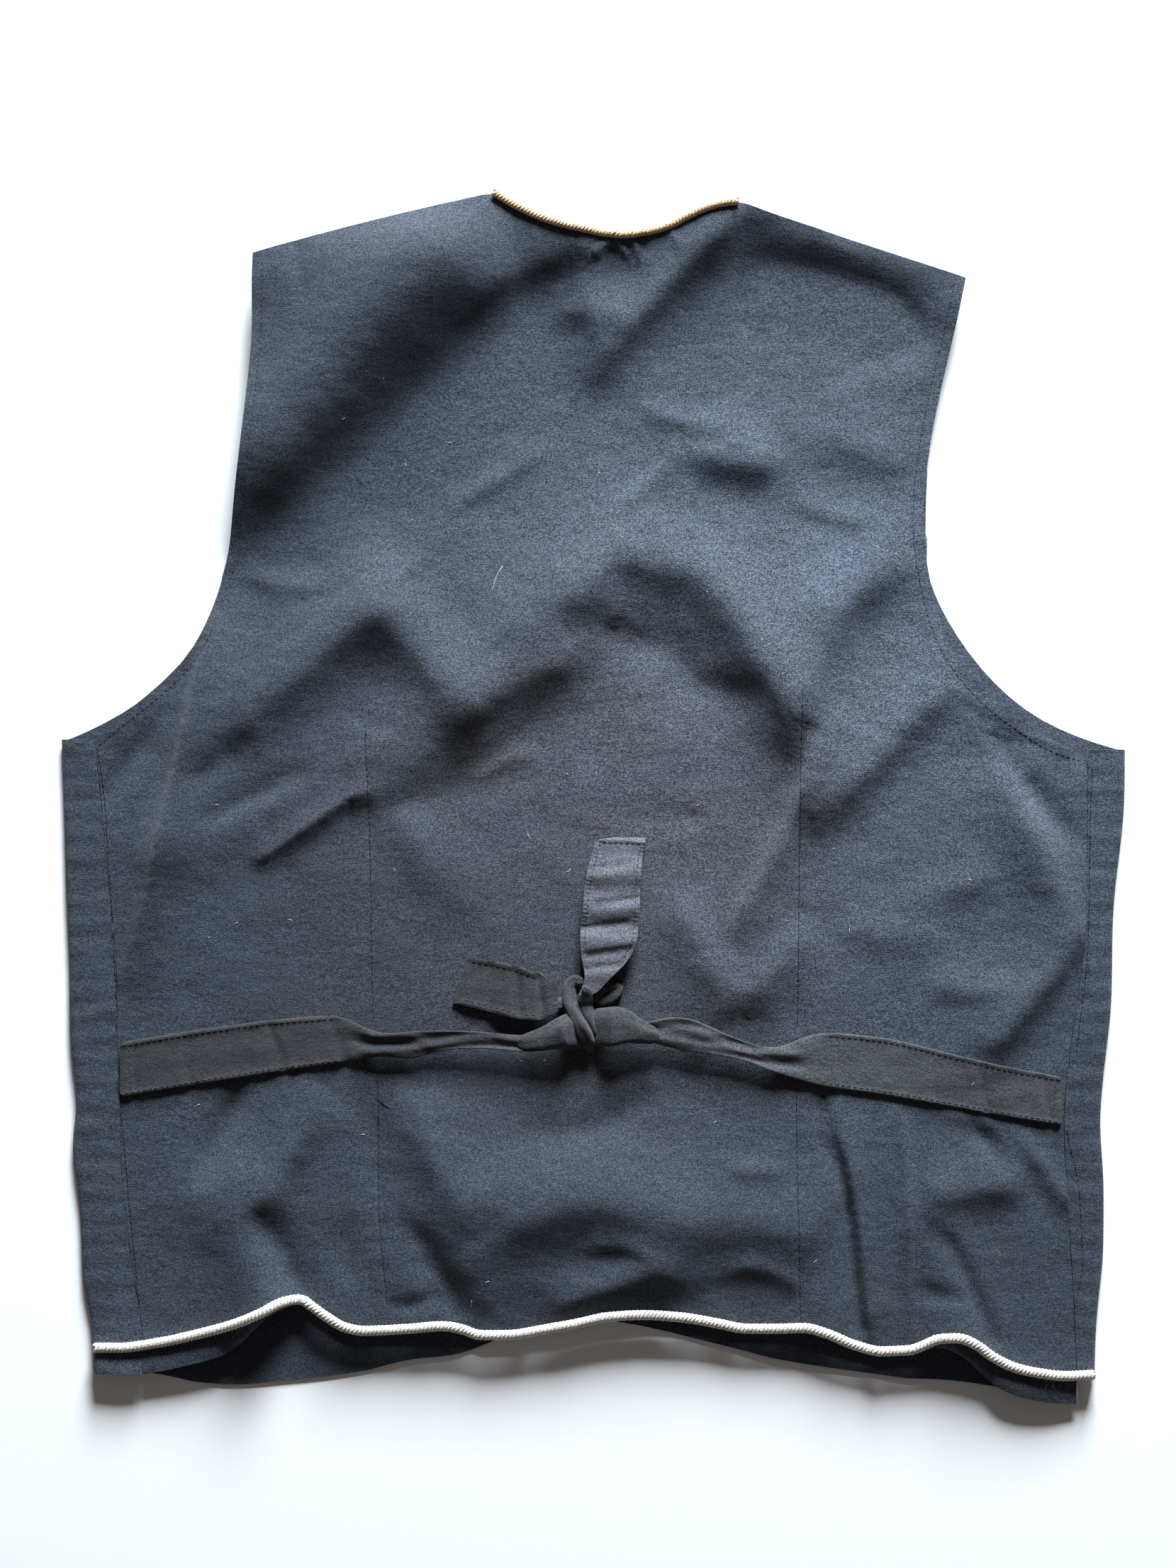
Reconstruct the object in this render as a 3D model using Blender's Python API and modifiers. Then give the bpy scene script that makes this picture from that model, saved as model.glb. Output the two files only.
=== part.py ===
"""Sleeveless folk vest of dark cotton, laid flat with its back up."""
import math
from collections import namedtuple

import bpy
import bmesh
import numpy as np
from mathutils import Vector
from mathutils.bvhtree import BVHTree

MM = 0.001

# Cloth and cord sizes in millimetres
CLOTH = 1.2
SEAM_GAP = 0.35
LAY_GAP = 0.4
LAY_SPREAD = 4.0
CORD_SPREAD = 3.5
KNOT_SPREAD = 8.0
CORD_NECK = 3.8
CORD_HEM = 4.7
FRONT_MID = 0.6
FLOOR_SNAP = 0.25
LOWEST_BACK = 2.15
SIDE_MID = 4.0
FOLD_REACH = 4.0
BODY_RISE = 5.6
SHOULDER_FALL = 1.4
SEAM_BLEND = 30.0
SHOULDER_BLEND = 18.0

# Cell counts of the pieces
BELT_CELLS = (28, 6)
END_UP_CELLS = (20, 4)
END_LEFT_CELLS = (12, 4)
LOOP_CELLS = (5, 14)
NECK_CORD_CELLS = 26
HEM_CORD_CELLS = 75
SHOULDER_CELLS = 14
NECK_CELLS = 14
ARMHOLE_CELLS = 19
ARMHOLE_ACROSS = 0.45
BEND_FADE = 3
SIDE_CELLS = 25
FRONT_ARM_CELLS = 7
FRONT_SHOULDER_CELLS = 4
FRONT_ROWS = 22
CENTRE_ROWS = 13

# Outlines seen from above, x and y
ARMHOLE_LEFT = [(-168, 269), (-168.5, 254), (-168, 233), (-170, 205), (-173, 177), (-177, 149),
                (-180.5, 121), (-184, 107), (-188.5, 93), (-194.5, 79), (-205, 65), (-220, 51),
                (-238, 37), (-247, 29)]
ARMHOLE_RIGHT = [(184, 257), (179, 233), (172.5, 205), (167, 177), (163.5, 149), (163, 135),
                 (164, 121), (166.5, 107), (171, 89.5), (173.5, 77.5), (180, 69.5), (189.5, 56.5),
                 (199, 47), (211, 38), (229, 26.5), (238.5, 23), (244.5, 22)]
FRONT_ARM_LEFT = [(-259, 29), (-247, 31), (-237, 36), (-219, 50), (-204, 64), (-193.5, 78),
                  (-187.5, 92), (-183, 106), (-179.5, 120), (-176, 148), (-172, 176), (-169, 204),
                  (-167.5, 232), (-167, 268)]
FRONT_ARM_RIGHT = [(259, 24), (246, 26.5), (234.5, 30), (220, 37), (201.5, 51), (189.5, 65),
                   (179.5, 79), (171.5, 93), (165.5, 107), (163, 121), (162, 135), (162.5, 149),
                   (166, 177), (171.5, 205), (178, 233), (183, 256)]
NECK = [(-49, 299), (-37.5, 292), (-27, 287), (-16.5, 283.5), (-6, 281), (4.5, 279), (15, 278),
        (25.5, 279.5), (36, 282), (46.5, 287), (57, 291.5), (66, 293.5), (71, 294)]
OPENING_LEFT = [(-49, 298.7), (-44, 270), (-32, 220), (-14, 160), (7.2, 105)]
OPENING_RIGHT = [(71, 293.7), (66, 268), (53, 220), (34, 160), (7.6, 105)]

# Side seam and side fold: y, x of seam, x of fold
SIDE_LEFT = [(29, -247, -263), (4, -244, -262), (-50, -239, -260.5), (-88, -235.5, -259),
             (-117, -235.5, -259), (-151, -233.5, -255), (-169, -234, -258), (-205, -231.5, -253.5),
             (-240, -226.5, -252.5), (-259, -223.5, -248), (-272, -222.5, -247.5),
             (-290, -222.5, -247)]
SIDE_RIGHT = [(22, 244.5, 263), (4, 244.5, 263), (-61, 243.5, 257), (-99, 239.5, 256.5),
              (-136, 234.5, 252.5), (-162, 232.5, 250.5), (-187, 234, 252.5), (-222, 236, 252.5),
              (-257, 238, 249), (-284, 239, 248), (-292, 239, 248)]

# Cord line along the hem: x, y
CORD_LINE = [(-247, -271.5), (-234, -271.5), (-215, -269), (-197, -265), (-178, -259.5),
             (-164, -253.5), (-152, -248), (-145, -247.5), (-139, -251), (-131, -256.5),
             (-122, -261.5), (-113, -263), (-93, -262), (-74, -260.5), (-65, -262), (-56, -265),
             (-43, -265), (-23, -262), (-7, -259), (7, -256), (25, -255), (45, -256.5),
             (62, -259.5), (76, -262), (91, -262), (104, -261.5), (116, -264.5), (129, -270),
             (142, -273), (156, -272.5), (163, -270), (171, -266.5), (180, -266), (188, -269),
             (197, -275.5), (208, -281), (221, -284), (234, -285.5), (248, -285)]

# Front hem edge: x, y
FRONT_HEM = [(-247, -284.5), (-232, -286), (-227, -284.5), (-210, -284), (-200, -289),
             (-191, -292.5), (-167, -291.5), (-152, -288.5), (-133, -287.5), (-112, -284),
             (-92, -277), (-70, -278), (-56, -272.5), (-47, -267), (-27, -262), (7, -258),
             (30, -263), (54, -269), (78, -275), (101, -281), (129, -284), (142, -287.5),
             (175, -289), (190, -288), (201, -293), (220, -294), (235, -290), (248, -286.5)]

# Hem strip below the cord line: x, then the slope down of each step in degrees
HEM_STEPS = (2.5, 2.5, 4.7, 4.7)
HEM_TURN = [(-222, 0, 2, 3, 3), (-185, 0, 4, 6, 8), (-172, 3, 8, 12, 60), (-162, 5, 12, 80, 165),
            (-154, 10, 70, 150, 180), (-146, 45, 110, 165, 180), (-130, 60, 140, 180, 180),
            (60, 60, 140, 180, 180), (150, 60, 140, 180, 180), (165, 30, 95, 150, 180),
            (176, 8, 20, 85, 165), (188, 3, 8, 15, 60), (200, 0, 3, 5, 8), (239, 0, 2, 2, 2)]

# Soft folds of the back: a crest from start to end, and how far each side spreads
Fold = namedtuple("Fold", "name x0 y0 x1 y1 height left right fade")
FOLDS = [Fold(*row) for row in [
    ("left shoulder roll", -82, 266, -164, 179, 12.0, 52, 30, 32),
    ("right shoulder rise", 78, 280, 176, 242, 1.8, 12, 26, 12),
    ("right neck pull", 68, 288, 0, 214, 2.2, 10, 14, 8),
    ("left neck pull", -24, 276, 2, 214, 1.4, 14, 12, 8),
    ("right blade dimple", 44, 172, 96, 177, 2.4, 16, 12, 10),
    ("middle arch, left arm", 30, 118, -42, 90, 4.2, 16, 26, 14),
    ("middle arch, right arm", 100, 40, 56, 110, 4.0, 18, 20, 14),
    ("long sweep, upper", 6, 86, -66, 44, 4.6, 16, 22, 12),
    ("long sweep, lower", -70, 42, -196, -24, 2.6, 14, 18, 14),
    ("left tent, outer arm", -104, 98, -166, 42, 3.8, 15, 20, 12),
    ("left tent, inner arm", -106, 98, -58, 50, 2.6, 16, 14, 12),
    ("left side ridge, upper", -190, 84, -216, -20, 3.2, 13, 13, 14),
    ("left side ridge, lower", -216, -20, -246, -112, 2.6, 12, 12, 14),
    ("right armhole fold, upper", 152, 126, 114, 94, 3.4, 13, 20, 12),
    ("right armhole fold, lower", 116, 94, 98, 14, 3.4, 13, 20, 14),
    ("right armhole second fold", 182, 68, 124, 6, 2.8, 12, 14, 14),
    ("right side ridge, upper", 202, 46, 218, -18, 3.0, 12, 12, 14),
    ("right side ridge, lower", 218, -18, 246, -70, 2.6, 12, 12, 12),
    ("right belt tuck", 190, -126, 236, -84, 2.6, 14, 10, 12),
    ("right waist pull", 112, 14, 78, -94, 1.8, 12, 14, 14),
    ("left hem peak", -146, -262, -172, -200, 10.0, 24, 15, 22),
    ("left hem swell", -60, -252, -92, -214, 3.2, 16, 18, 12),
    ("middle hem arch", -44, -196, 26, -200, 3.4, 24, 20, 16),
    ("middle hem lip", -22, -244, 42, -238, 2.6, 12, 12, 14),
    ("right hem peak", 182, -262, 168, -206, 5.0, 15, 15, 18),
    ("right hem swell", 96, -214, 118, -262, 1.6, 14, 12, 12),
]]

# Belt strips: x, y of top edge, y of bottom edge, lift over the back, crumple
BELT_LEFT = [(-234.5, -120.5, -148, 0.2, 0), (-197, -114.5, -142, 0.2, 0),
             (-159.5, -109.5, -136, 0.2, 0), (-126, -107, -131, 0.4, 0.1),
             (-113, -113, -129, 2.2, 0.8), (-103, -116, -127, 3.4, 1.0),
             (-92, -115, -129, 3.8, 1.1), (-82, -114.5, -126.5, 4.2, 1.0),
             (-66, -114.5, -123.5, 4.6, 0.9), (-49, -115.5, -123.5, 4.8, 0.8),
             (-35, -117, -125, 5.0, 0.9), (-20, -113, -124, 5.2, 1.0), (-9, -108, -121, 5.2, 0.6)]
BELT_RIGHT = [(3.5, -105.5, -120.5, 5.2, 0.6), (9, -107, -121.5, 5.2, 0.9), (17, -109, -120.5, 5.0, 0.9),
              (24, -112, -119.5, 4.8, 0.6), (31, -108.5, -121, 4.8, 0.9),
              (43, -107.5, -124.5, 4.8, 1.1), (63, -115, -127, 4.4, 1.0),
              (76, -120.5, -130, 4.0, 0.9), (89, -123.5, -135, 3.0, 1.0),
              (101, -119, -139, 1.6, 0.6), (113, -115.5, -142.5, 0.5, 0.1),
              (142, -118, -146.5, 0.2, 0), (179, -126.5, -153, 0.2, 0),
              (207, -133, -158, 0.2, 0), (232, -137.5, -162, 0.2, 0)]

# Free ends of the belt: along, low edge, high edge, lift, ripple
END_UP = [(-19.5, 1.5, 26, 0, 0), (-27, -0.5, 24.5, 1.0, 0.8), (-42, -4, 23.3, 2.6, 1.0),
          (-58, -5.5, 22.7, 3.2, 1.0), (-70, -6.5, 21.5, 4.0, 1.0), (-80, -5.5, 17, 5.4, 0.7),
          (-88, -4, 9, 6.2, 0.3), (-97, -7.5, 0.5, 6.6, 0)]
END_LEFT = [(-62, -101, -78.5, 0, 0), (-47, -105.5, -80.5, 1.4, 0.8),
            (-34, -109, -83.5, 2.4, 0.9), (-26, -109.5, -86.5, 4.0, 0.7),
            (-20, -106, -91, 3.8, 0.2), (-17.5, -105, -93, 3.8, 0)]
END_SLANT = 7.5
RIPPLES_UP = 4.5
RIPPLES_LEFT = 2.0

# Knot wrap: share along, x, y, height of the middle over the back, half width
KNOT = [(0.0, -13.5, -92.5, 9.2, 4.6), (0.18, -12, -96, 11.4, 6.6), (0.38, -10, -102, 11.6, 7.6),
        (0.58, -6, -109, 12.8, 7.0), (0.78, -2, -116, 12.2, 6.4), (0.92, 0.5, -123, 9.4, 5.6),
        (1.0, 1.2, -127, 4.4, 5.0)]
KNOT_CELLS = (12, 8)
KNOT_CENTRE = (-6, -109)
KNOT_ARC = 150.0
KNOT_CROWN = 3.4

# Rolled loop beside the knot
LOOP_START = (3.0, -102.0)
LOOP_END = (13.0, -98.8)
LOOP_RADIUS = 3.4
LOOP_ARC = 285.0
LOOP_LIFT = 6.6

COLOURS = {
    "back": (0.088, 0.108, 0.142),
    "front_left": (0.074, 0.092, 0.122),
    "front_right": (0.074, 0.092, 0.122),
    "belt": (0.092, 0.104, 0.122),
    "knot": (0.084, 0.094, 0.110),
    "tie_end": (0.120, 0.134, 0.158),
    "cord_neck": (0.560, 0.330, 0.100),
    "cord_hem": (0.790, 0.770, 0.720),
}


def remove_everything():
    """Start from an empty file."""
    for thing in list(bpy.data.objects):
        bpy.data.objects.remove(thing, do_unlink=True)
    for group in list(bpy.data.collections):
        bpy.data.collections.remove(group)


def material(name, colour, roughness, metallic=0.0):
    """Principled material of one sub-part."""
    made = bpy.data.materials.new(name)
    made.use_nodes = True
    shader = made.node_tree.nodes["Principled BSDF"]
    shader.inputs["Base Color"].default_value = (*colour, 1.0)
    shader.inputs["Roughness"].default_value = roughness
    shader.inputs["Metallic"].default_value = metallic
    made.diffuse_color = (*colour, 1.0)
    return made


def track(rows, keys):
    """Columns of a table read at the keys, along a curve that never overshoots its rows."""
    table = np.array(sorted(rows), float)
    key = table[:, 0]
    value = table[:, 1:]
    keys = np.clip(np.asarray(keys, float), key[0], key[-1])
    step = np.diff(key)[:, None]
    slope = np.diff(value, axis=0) / step
    rate = np.zeros_like(value)
    same = slope[:-1] * slope[1:] > 0
    mean = 2 * slope[:-1] * slope[1:] / np.where(same, slope[:-1] + slope[1:], 1)
    rate[1:-1] = np.where(same, mean, 0)
    rate[0] = slope[0]
    rate[-1] = slope[-1]
    place = np.clip(np.searchsorted(key, keys, side="right") - 1, 0, len(key) - 2)
    span = step[place]
    t = ((keys - key[place]) / span[:, 0])[:, None]
    return ((2 * t**3 - 3 * t**2 + 1) * value[place] + (t**3 - 2 * t**2 + t) * span * rate[place]
            + (3 * t**2 - 2 * t**3) * value[place + 1] + (t**3 - t**2) * span * rate[place + 1])


def along(points, cells, across=1.0):
    """Points at even steps along a smooth curve, where a run in x may count for less."""
    points = np.array(points, float)
    reach = np.concatenate([[0], np.cumsum(np.linalg.norm(np.diff(points, axis=0), axis=1))])
    rows = [(key, *point) for key, point in zip(reach, points)]
    dense = track(rows, np.linspace(0, reach[-1], 400))
    walk = np.diff(dense, axis=0) * ([across] + [1.0] * (points.shape[1] - 1))
    length = np.concatenate([[0], np.cumsum(np.linalg.norm(walk, axis=1))])
    wanted = np.linspace(0, length[-1], cells + 1)
    return np.stack([np.interp(wanted, length, dense[:, axis]) for axis in range(points.shape[1])], 1)


def joined(*runs):
    """Runs of points put end to end, each shared point kept once."""
    parts = [runs[0]] + [run[1:] for run in runs[1:]]
    return np.concatenate(parts)


def blend(low, high, share):
    """Straight blend between two values."""
    return low + (high - low) * share


def smooth_step(share):
    """Soft rise from 0 to 1."""
    share = np.clip(share, 0, 1)
    return share * share * (3 - 2 * share)


def away(points, line):
    """Distance from each point to a densely walked line."""
    dense = along(line, 300)
    gap = points[:, None, :] - dense[None, :, :]
    return np.sqrt((gap**2).sum(2)).min(1)


def fold_rise(points):
    """Sum of the folds at each point."""
    rise = np.zeros(len(points))
    for fold in FOLDS:
        start = np.array([fold.x0, fold.y0], float)
        run = np.array([fold.x1, fold.y1], float) - start
        length = np.linalg.norm(run)
        run /= length
        off = points - start
        walk = off @ run
        side = off @ np.array([-run[1], run[0]])
        beyond = np.maximum(0, np.maximum(-walk, walk - length))
        width = np.where(side > 0, fold.left, fold.right)
        rise += fold.height * np.exp(-(side / width) ** 2 - (beyond / fold.fade) ** 2)
    return rise


def back_height(points):
    """Height of the middle of the back's cloth over the floor."""
    seams = [[(x, y) for y, x, _ in rows] for rows in (SIDE_LEFT, SIDE_RIGHT)]
    side = np.minimum(away(points, seams[0]), away(points, seams[1]))
    shoulder = np.minimum(away(points, [ARMHOLE_LEFT[0], NECK[0]]),
                          away(points, [NECK[-1], ARMHOLE_RIGHT[0]]))
    body = BODY_RISE - SHOULDER_FALL * smooth_step((points[:, 1] - 60) / 180)
    free = body + fold_rise(points)
    low = blend(SIDE_MID, free, smooth_step(side / SEAM_BLEND))
    return np.maximum(blend(LOWEST_BACK, low, smooth_step(shoulder / SHOULDER_BLEND)), LOWEST_BACK)


def ruled(top, bottom, left, right):
    """Grid of points ruled from left to right, bent near its ends to the top and bottom runs."""
    u = np.linspace(0, 1, len(top))[None, :, None]
    v = np.linspace(0, 1, len(left))[:, None, None]
    span = blend(left[:, None], right[:, None], u)
    top_bend = top[None] - blend(top[0], top[-1], u)
    bottom_bend = bottom[None] - blend(bottom[0], bottom[-1], u)
    return span + (1 - v) ** BEND_FADE * top_bend + v**BEND_FADE * bottom_bend


def cloth(name, grid, thickness, finish, group, floor=False):
    """Wall of cloth on a grid of middle points, given its thickness by a Solidify modifier."""
    rows, columns = grid.shape[:2]
    points = [Vector(point) * MM for point in grid.reshape(-1, 3)]
    faces = [(r * columns + c, r * columns + c + 1, (r + 1) * columns + c + 1, (r + 1) * columns + c)
             for r in range(rows - 1) for c in range(columns - 1)]
    mesh = bpy.data.meshes.new(name)
    mesh.from_pydata(points, [], faces)
    piece = bpy.data.objects.new(name, mesh)
    group.objects.link(piece)
    wall = piece.modifiers.new("wall", "SOLIDIFY")
    wall.thickness = thickness * MM
    wall.offset = 0.0
    wall.use_even_offset = True
    wall.use_rim = True
    settled(piece, floor)
    piece.data.materials.append(finish)
    return piece


def settled(piece, floor):
    """Apply the modifiers, face the skin outward and lay the lowest skin flat on the floor."""
    bpy.context.view_layer.update()
    ready = piece.evaluated_get(bpy.context.evaluated_depsgraph_get())
    mesh = bpy.data.meshes.new_from_object(ready)
    piece.modifiers.clear()
    piece.data = mesh
    form = bmesh.new()
    form.from_mesh(mesh)
    bmesh.ops.recalc_face_normals(form, faces=form.faces)
    if floor:
        for vertex in form.verts:
            if vertex.co.z < FLOOR_SNAP * MM:
                vertex.co.z = 0.0
    form.to_mesh(mesh)
    form.free()


def back_grid():
    """Middle points of the back, hem strip included."""
    top = joined(along([ARMHOLE_LEFT[0], NECK[0]], SHOULDER_CELLS), along(NECK, NECK_CELLS),
                 along([NECK[-1], ARMHOLE_RIGHT[0]], SHOULDER_CELLS))
    edges = []
    for armhole, side in ((ARMHOLE_LEFT, SIDE_LEFT), (ARMHOLE_RIGHT, SIDE_RIGHT)):
        low = track(CORD_LINE, [side[-1][1]])[0, 0]
        levels = np.linspace(armhole[-1][1], low, SIDE_CELLS + 1)
        seam = np.stack([track(side, levels)[:, 0], levels], 1)
        edges.append(joined(along(armhole, ARMHOLE_CELLS, ARMHOLE_ACROSS), seam))
    across = np.linspace(edges[0][-1, 0], edges[1][-1, 0], len(top))
    hem = np.stack([across, track(CORD_LINE, across)[:, 0]], 1)
    flat = ruled(top, hem, edges[0], edges[1])
    rows, columns = flat.shape[:2]
    height = back_height(flat.reshape(-1, 2)).reshape(rows, columns, 1)
    grid = np.concatenate([flat, height], 2)
    turns = np.radians(track(HEM_TURN, across))
    strip = [grid[-1]]
    for step, turn in zip(HEM_STEPS, turns.T):
        move = np.stack([np.zeros(columns), -np.cos(turn), -np.sin(turn)], 1) * step
        strip.append(strip[-1] + move)
    strip = np.stack(strip[1:])
    strip[:, :, 2] = np.maximum(strip[:, :, 2], LOWEST_BACK)
    return np.concatenate([grid, strip])


def front_grid(armhole, side, opening):
    """Middle points of one front: a wrap round the side fold, then the flat panel underneath."""
    facing = 1.0 if side[0][1] > 0 else -1.0
    low = track(FRONT_HEM, [side[-1][2]])[0, 0]
    neck_foot = opening[-1]
    centre_foot = (0.6 + 0.2 * facing, track(FRONT_HEM, [0.6])[0, 0])
    top = joined(along(armhole, FRONT_ARM_CELLS), along([armhole[-1], opening[0]], FRONT_SHOULDER_CELLS))
    levels = np.linspace(armhole[0][1], low, FRONT_ROWS + 1)
    fold = track(side, levels)[:, 1]
    inner = np.stack([fold - facing * FOLD_REACH, levels], 1)
    centre = joined(along(opening, FRONT_ROWS - CENTRE_ROWS), along([neck_foot, centre_foot], CENTRE_ROWS))
    across = np.linspace(inner[-1, 0], centre_foot[0], len(top))
    hem = np.stack([across, track(FRONT_HEM, across)[:, 0]], 1)
    flat = ruled(top, hem, inner, centre)
    under = np.concatenate([flat, np.full(flat.shape[:2] + (1,), FRONT_MID)], 2)
    seam = track(side, levels)[:, 0] + facing * SEAM_GAP
    turn_x = fold - facing * FOLD_REACH
    half = (SIDE_MID - FRONT_MID) / 2
    wrap = [np.stack([seam, levels, np.full(len(levels), SIDE_MID)], 1),
            np.stack([(seam + turn_x) / 2, levels, np.full(len(levels), SIDE_MID + 0.3)], 1)]
    for angle in np.radians([90, 50, 15, -20, -55]):
        wrap.append(np.stack([turn_x + facing * FOLD_REACH * np.cos(angle), levels,
                              FRONT_MID + half + half * np.full(len(levels), np.sin(angle))], 1))
    return np.concatenate([np.stack(wrap, 1), under], 1)


def surface(piece):
    """Search tree over a finished piece."""
    corners = [vertex.co / MM for vertex in piece.data.vertices]
    return BVHTree.FromPolygons(corners, [tuple(face.vertices) for face in piece.data.polygons])


def tops(trees, points, spread):
    """Highest skin of the pieces within the spread round each point."""
    reach = [(0, 0)] + [(math.cos(turn) * spread, math.sin(turn) * spread)
                        for turn in np.linspace(0, 2 * math.pi, 9)[:-1]]
    found = []
    for x, y in points:
        hits = [tree.ray_cast(Vector((x + dx, y + dy, 90)), Vector((0, 0, -1)))[0]
                for tree in trees for dx, dy in reach]
        found.append(max(hit.z for hit in hits if hit is not None))
    return np.array(found)


def belt_grid(trees, rows):
    """Middle points of a belt strip laid on the back, crumpled where it is free."""
    cells, across = BELT_CELLS
    keys = np.linspace(rows[0][0], rows[-1][0], cells + 1)
    table = track(rows, keys)
    share = np.linspace(0, 1, across + 1)
    grid = np.zeros((cells + 1, across + 1, 3))
    grid[:, :, 0] = keys[:, None]
    grid[:, :, 1] = blend(table[:, :1], table[:, 1:2], share[None])
    under = tops(trees, grid[:, :, :2].reshape(-1, 2), LAY_SPREAD).reshape(cells + 1, across + 1)
    free = smooth_step((table[:, 2:3] - 0.4) / 3)
    level = blend(under, under.mean(1, keepdims=True), free)
    wave = np.sin(share[None] * 3 * math.pi + 0.05 * keys[:, None])
    grid[:, :, 2] = level + LAY_GAP + CLOTH / 2 + table[:, 2:3] + table[:, 3:4] * wave
    return grid


def end_grid(trees, rows, size, ripples, upright):
    """Middle points of a free end lying on the back, with cross ripples."""
    cells, across = size
    keys = np.linspace(rows[0][0], rows[-1][0], cells + 1)
    table = track(rows, keys)
    share = np.linspace(0, 1, across + 1)
    width = blend(table[:, :1], table[:, 1:2], share[None])
    run = np.broadcast_to(keys[:, None], width.shape)
    slant = np.linspace(1, 0, cells + 1)[:, None] ** 2 * END_SLANT * (share[None] - 1)
    places = (width, run) if upright else (run + slant, width)
    grid = np.stack([*places, np.zeros(width.shape)], 2)
    under = tops(trees, grid[:, :, :2].reshape(-1, 2), LAY_SPREAD).reshape(width.shape)
    wave = np.cos(np.linspace(0, 1, cells + 1) * ripples * 2 * math.pi)[:, None]
    grid[:, :, 2] = (under + LAY_GAP + CLOTH / 2 + table[:, 2:3] + table[:, 3:4] * (1 + wave))
    return grid


def knot_grid(base):
    """Middle points of the wrap: a shallow arch carried over the crossing."""
    length, across = KNOT_CELLS
    share = np.linspace(0, 1, length + 1)
    table = track(KNOT, share)
    spine = np.stack([table[:, 0], table[:, 1], base + table[:, 2]], 1)
    run = np.gradient(spine[:, :2], axis=0)
    run /= np.linalg.norm(run, axis=1, keepdims=True)
    out = np.stack([run[:, 1], -run[:, 0]], 1)
    turn = np.radians(np.linspace(-KNOT_ARC / 2, KNOT_ARC / 2, across + 1))
    reach = table[:, 3:4] * np.sin(turn)[None] / math.sin(math.radians(KNOT_ARC / 2))
    grid = np.zeros((length + 1, across + 1, 3))
    grid[:, :, :2] = spine[:, None, :2] + out[:, None] * reach[:, :, None]
    grid[:, :, 2] = spine[:, 2:3] - KNOT_CROWN * (1 - np.cos(turn)[None])
    return grid


def loop_grid(base):
    """Middle points of the rolled loop."""
    start = np.array(LOOP_START, float)
    end = np.array(LOOP_END, float)
    run = (end - start) / np.linalg.norm(end - start)
    out = np.array([-run[1], run[0]])
    share = np.linspace(0, 1, LOOP_CELLS[0] + 1)
    turn = np.radians(np.linspace(-LOOP_ARC / 2, LOOP_ARC / 2, LOOP_CELLS[1] + 1))
    grid = np.zeros((len(share), len(turn), 3))
    for row, walk in enumerate(share):
        centre = blend(start, end, walk)
        size = LOOP_RADIUS * (0.8 + 0.2 * math.sin(math.pi * walk))
        grid[row, :, :2] = centre + out * (np.sin(turn) * size)[:, None]
        grid[row, :, 2] = base + LOOP_LIFT + np.cos(turn) * size
    return grid


def cord(name, points, width, finish, group):
    """Cord along smooth points."""
    curve = bpy.data.curves.new(name, "CURVE")
    curve.dimensions = "3D"
    curve.bevel_depth = width / 2 * MM
    curve.bevel_resolution = 2
    curve.use_fill_caps = True
    spline = curve.splines.new("POLY")
    spline.points.add(len(points) - 1)
    for spot, point in zip(spline.points, points):
        spot.co = (*(Vector(point) * MM), 1.0)
    curve.materials.append(finish)
    piece = bpy.data.objects.new(name, curve)
    group.objects.link(piece)
    return piece


def centred(pieces):
    """Shift the whole garment so that its box stands over the origin."""
    bpy.context.view_layer.update()
    corners = [piece.matrix_world @ Vector(corner) for piece in pieces for corner in piece.bound_box]
    x = (min(c.x for c in corners) + max(c.x for c in corners)) / 2
    y = (min(c.y for c in corners) + max(c.y for c in corners)) / 2
    for piece in pieces:
        piece.location = (-x, -y, 0)


def main():
    """Build every piece of the vest."""
    remove_everything()
    group = bpy.data.collections.new("beaded_vest")
    bpy.context.scene.collection.children.link(group)
    finishes = {name: material(name, colour, 0.9) for name, colour in COLOURS.items()}

    back = cloth("back", back_grid(), CLOTH, finishes["back"], group)
    grid = front_grid(FRONT_ARM_LEFT, SIDE_LEFT, OPENING_LEFT)
    left = cloth("front_left", grid, CLOTH, finishes["front_left"], group, floor=True)
    grid = front_grid(FRONT_ARM_RIGHT, SIDE_RIGHT, OPENING_RIGHT)
    right = cloth("front_right", grid, CLOTH, finishes["front_right"], group, floor=True)

    trees = [surface(piece) for piece in (back, left, right)]
    cloth("belt_left", belt_grid(trees, BELT_LEFT), CLOTH, finishes["belt"], group)
    cloth("belt_right", belt_grid(trees, BELT_RIGHT), CLOTH, finishes["belt"], group)
    grid = end_grid(trees, END_UP, END_UP_CELLS, RIPPLES_UP, True)
    cloth("tie_end_up", grid, CLOTH, finishes["tie_end"], group)
    grid = end_grid(trees, END_LEFT, END_LEFT_CELLS, RIPPLES_LEFT, False)
    cloth("tie_end_left", grid, CLOTH, finishes["tie_end"], group)
    base = tops(trees, [KNOT_CENTRE], KNOT_SPREAD)[0]
    cloth("knot", knot_grid(base), CLOTH, finishes["knot"], group)
    cloth("knot_loop", loop_grid(base), CLOTH, finishes["knot"], group)

    spots = np.linspace(CORD_LINE[0][0], CORD_LINE[-1][0], HEM_CORD_CELLS + 1)
    runs = {"cord_neck": (along(NECK, NECK_CORD_CELLS), CORD_NECK),
            "cord_hem": (np.stack([spots, track(CORD_LINE, spots)[:, 0]], 1), CORD_HEM)}
    for name, (run, width) in runs.items():
        lift = tops(trees, run, CORD_SPREAD) + LAY_GAP + width / 2
        cord(name, np.concatenate([run, lift[:, None]], 1), width, finishes[name], group)
    centred(list(group.objects))


main()
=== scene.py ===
"""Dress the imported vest: slubby dark cotton, knotted belt, twisted cords, stitching and studio."""
import logging
import math
from dataclasses import dataclass, field
from enum import Enum
from typing import NamedTuple, Sequence

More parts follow.
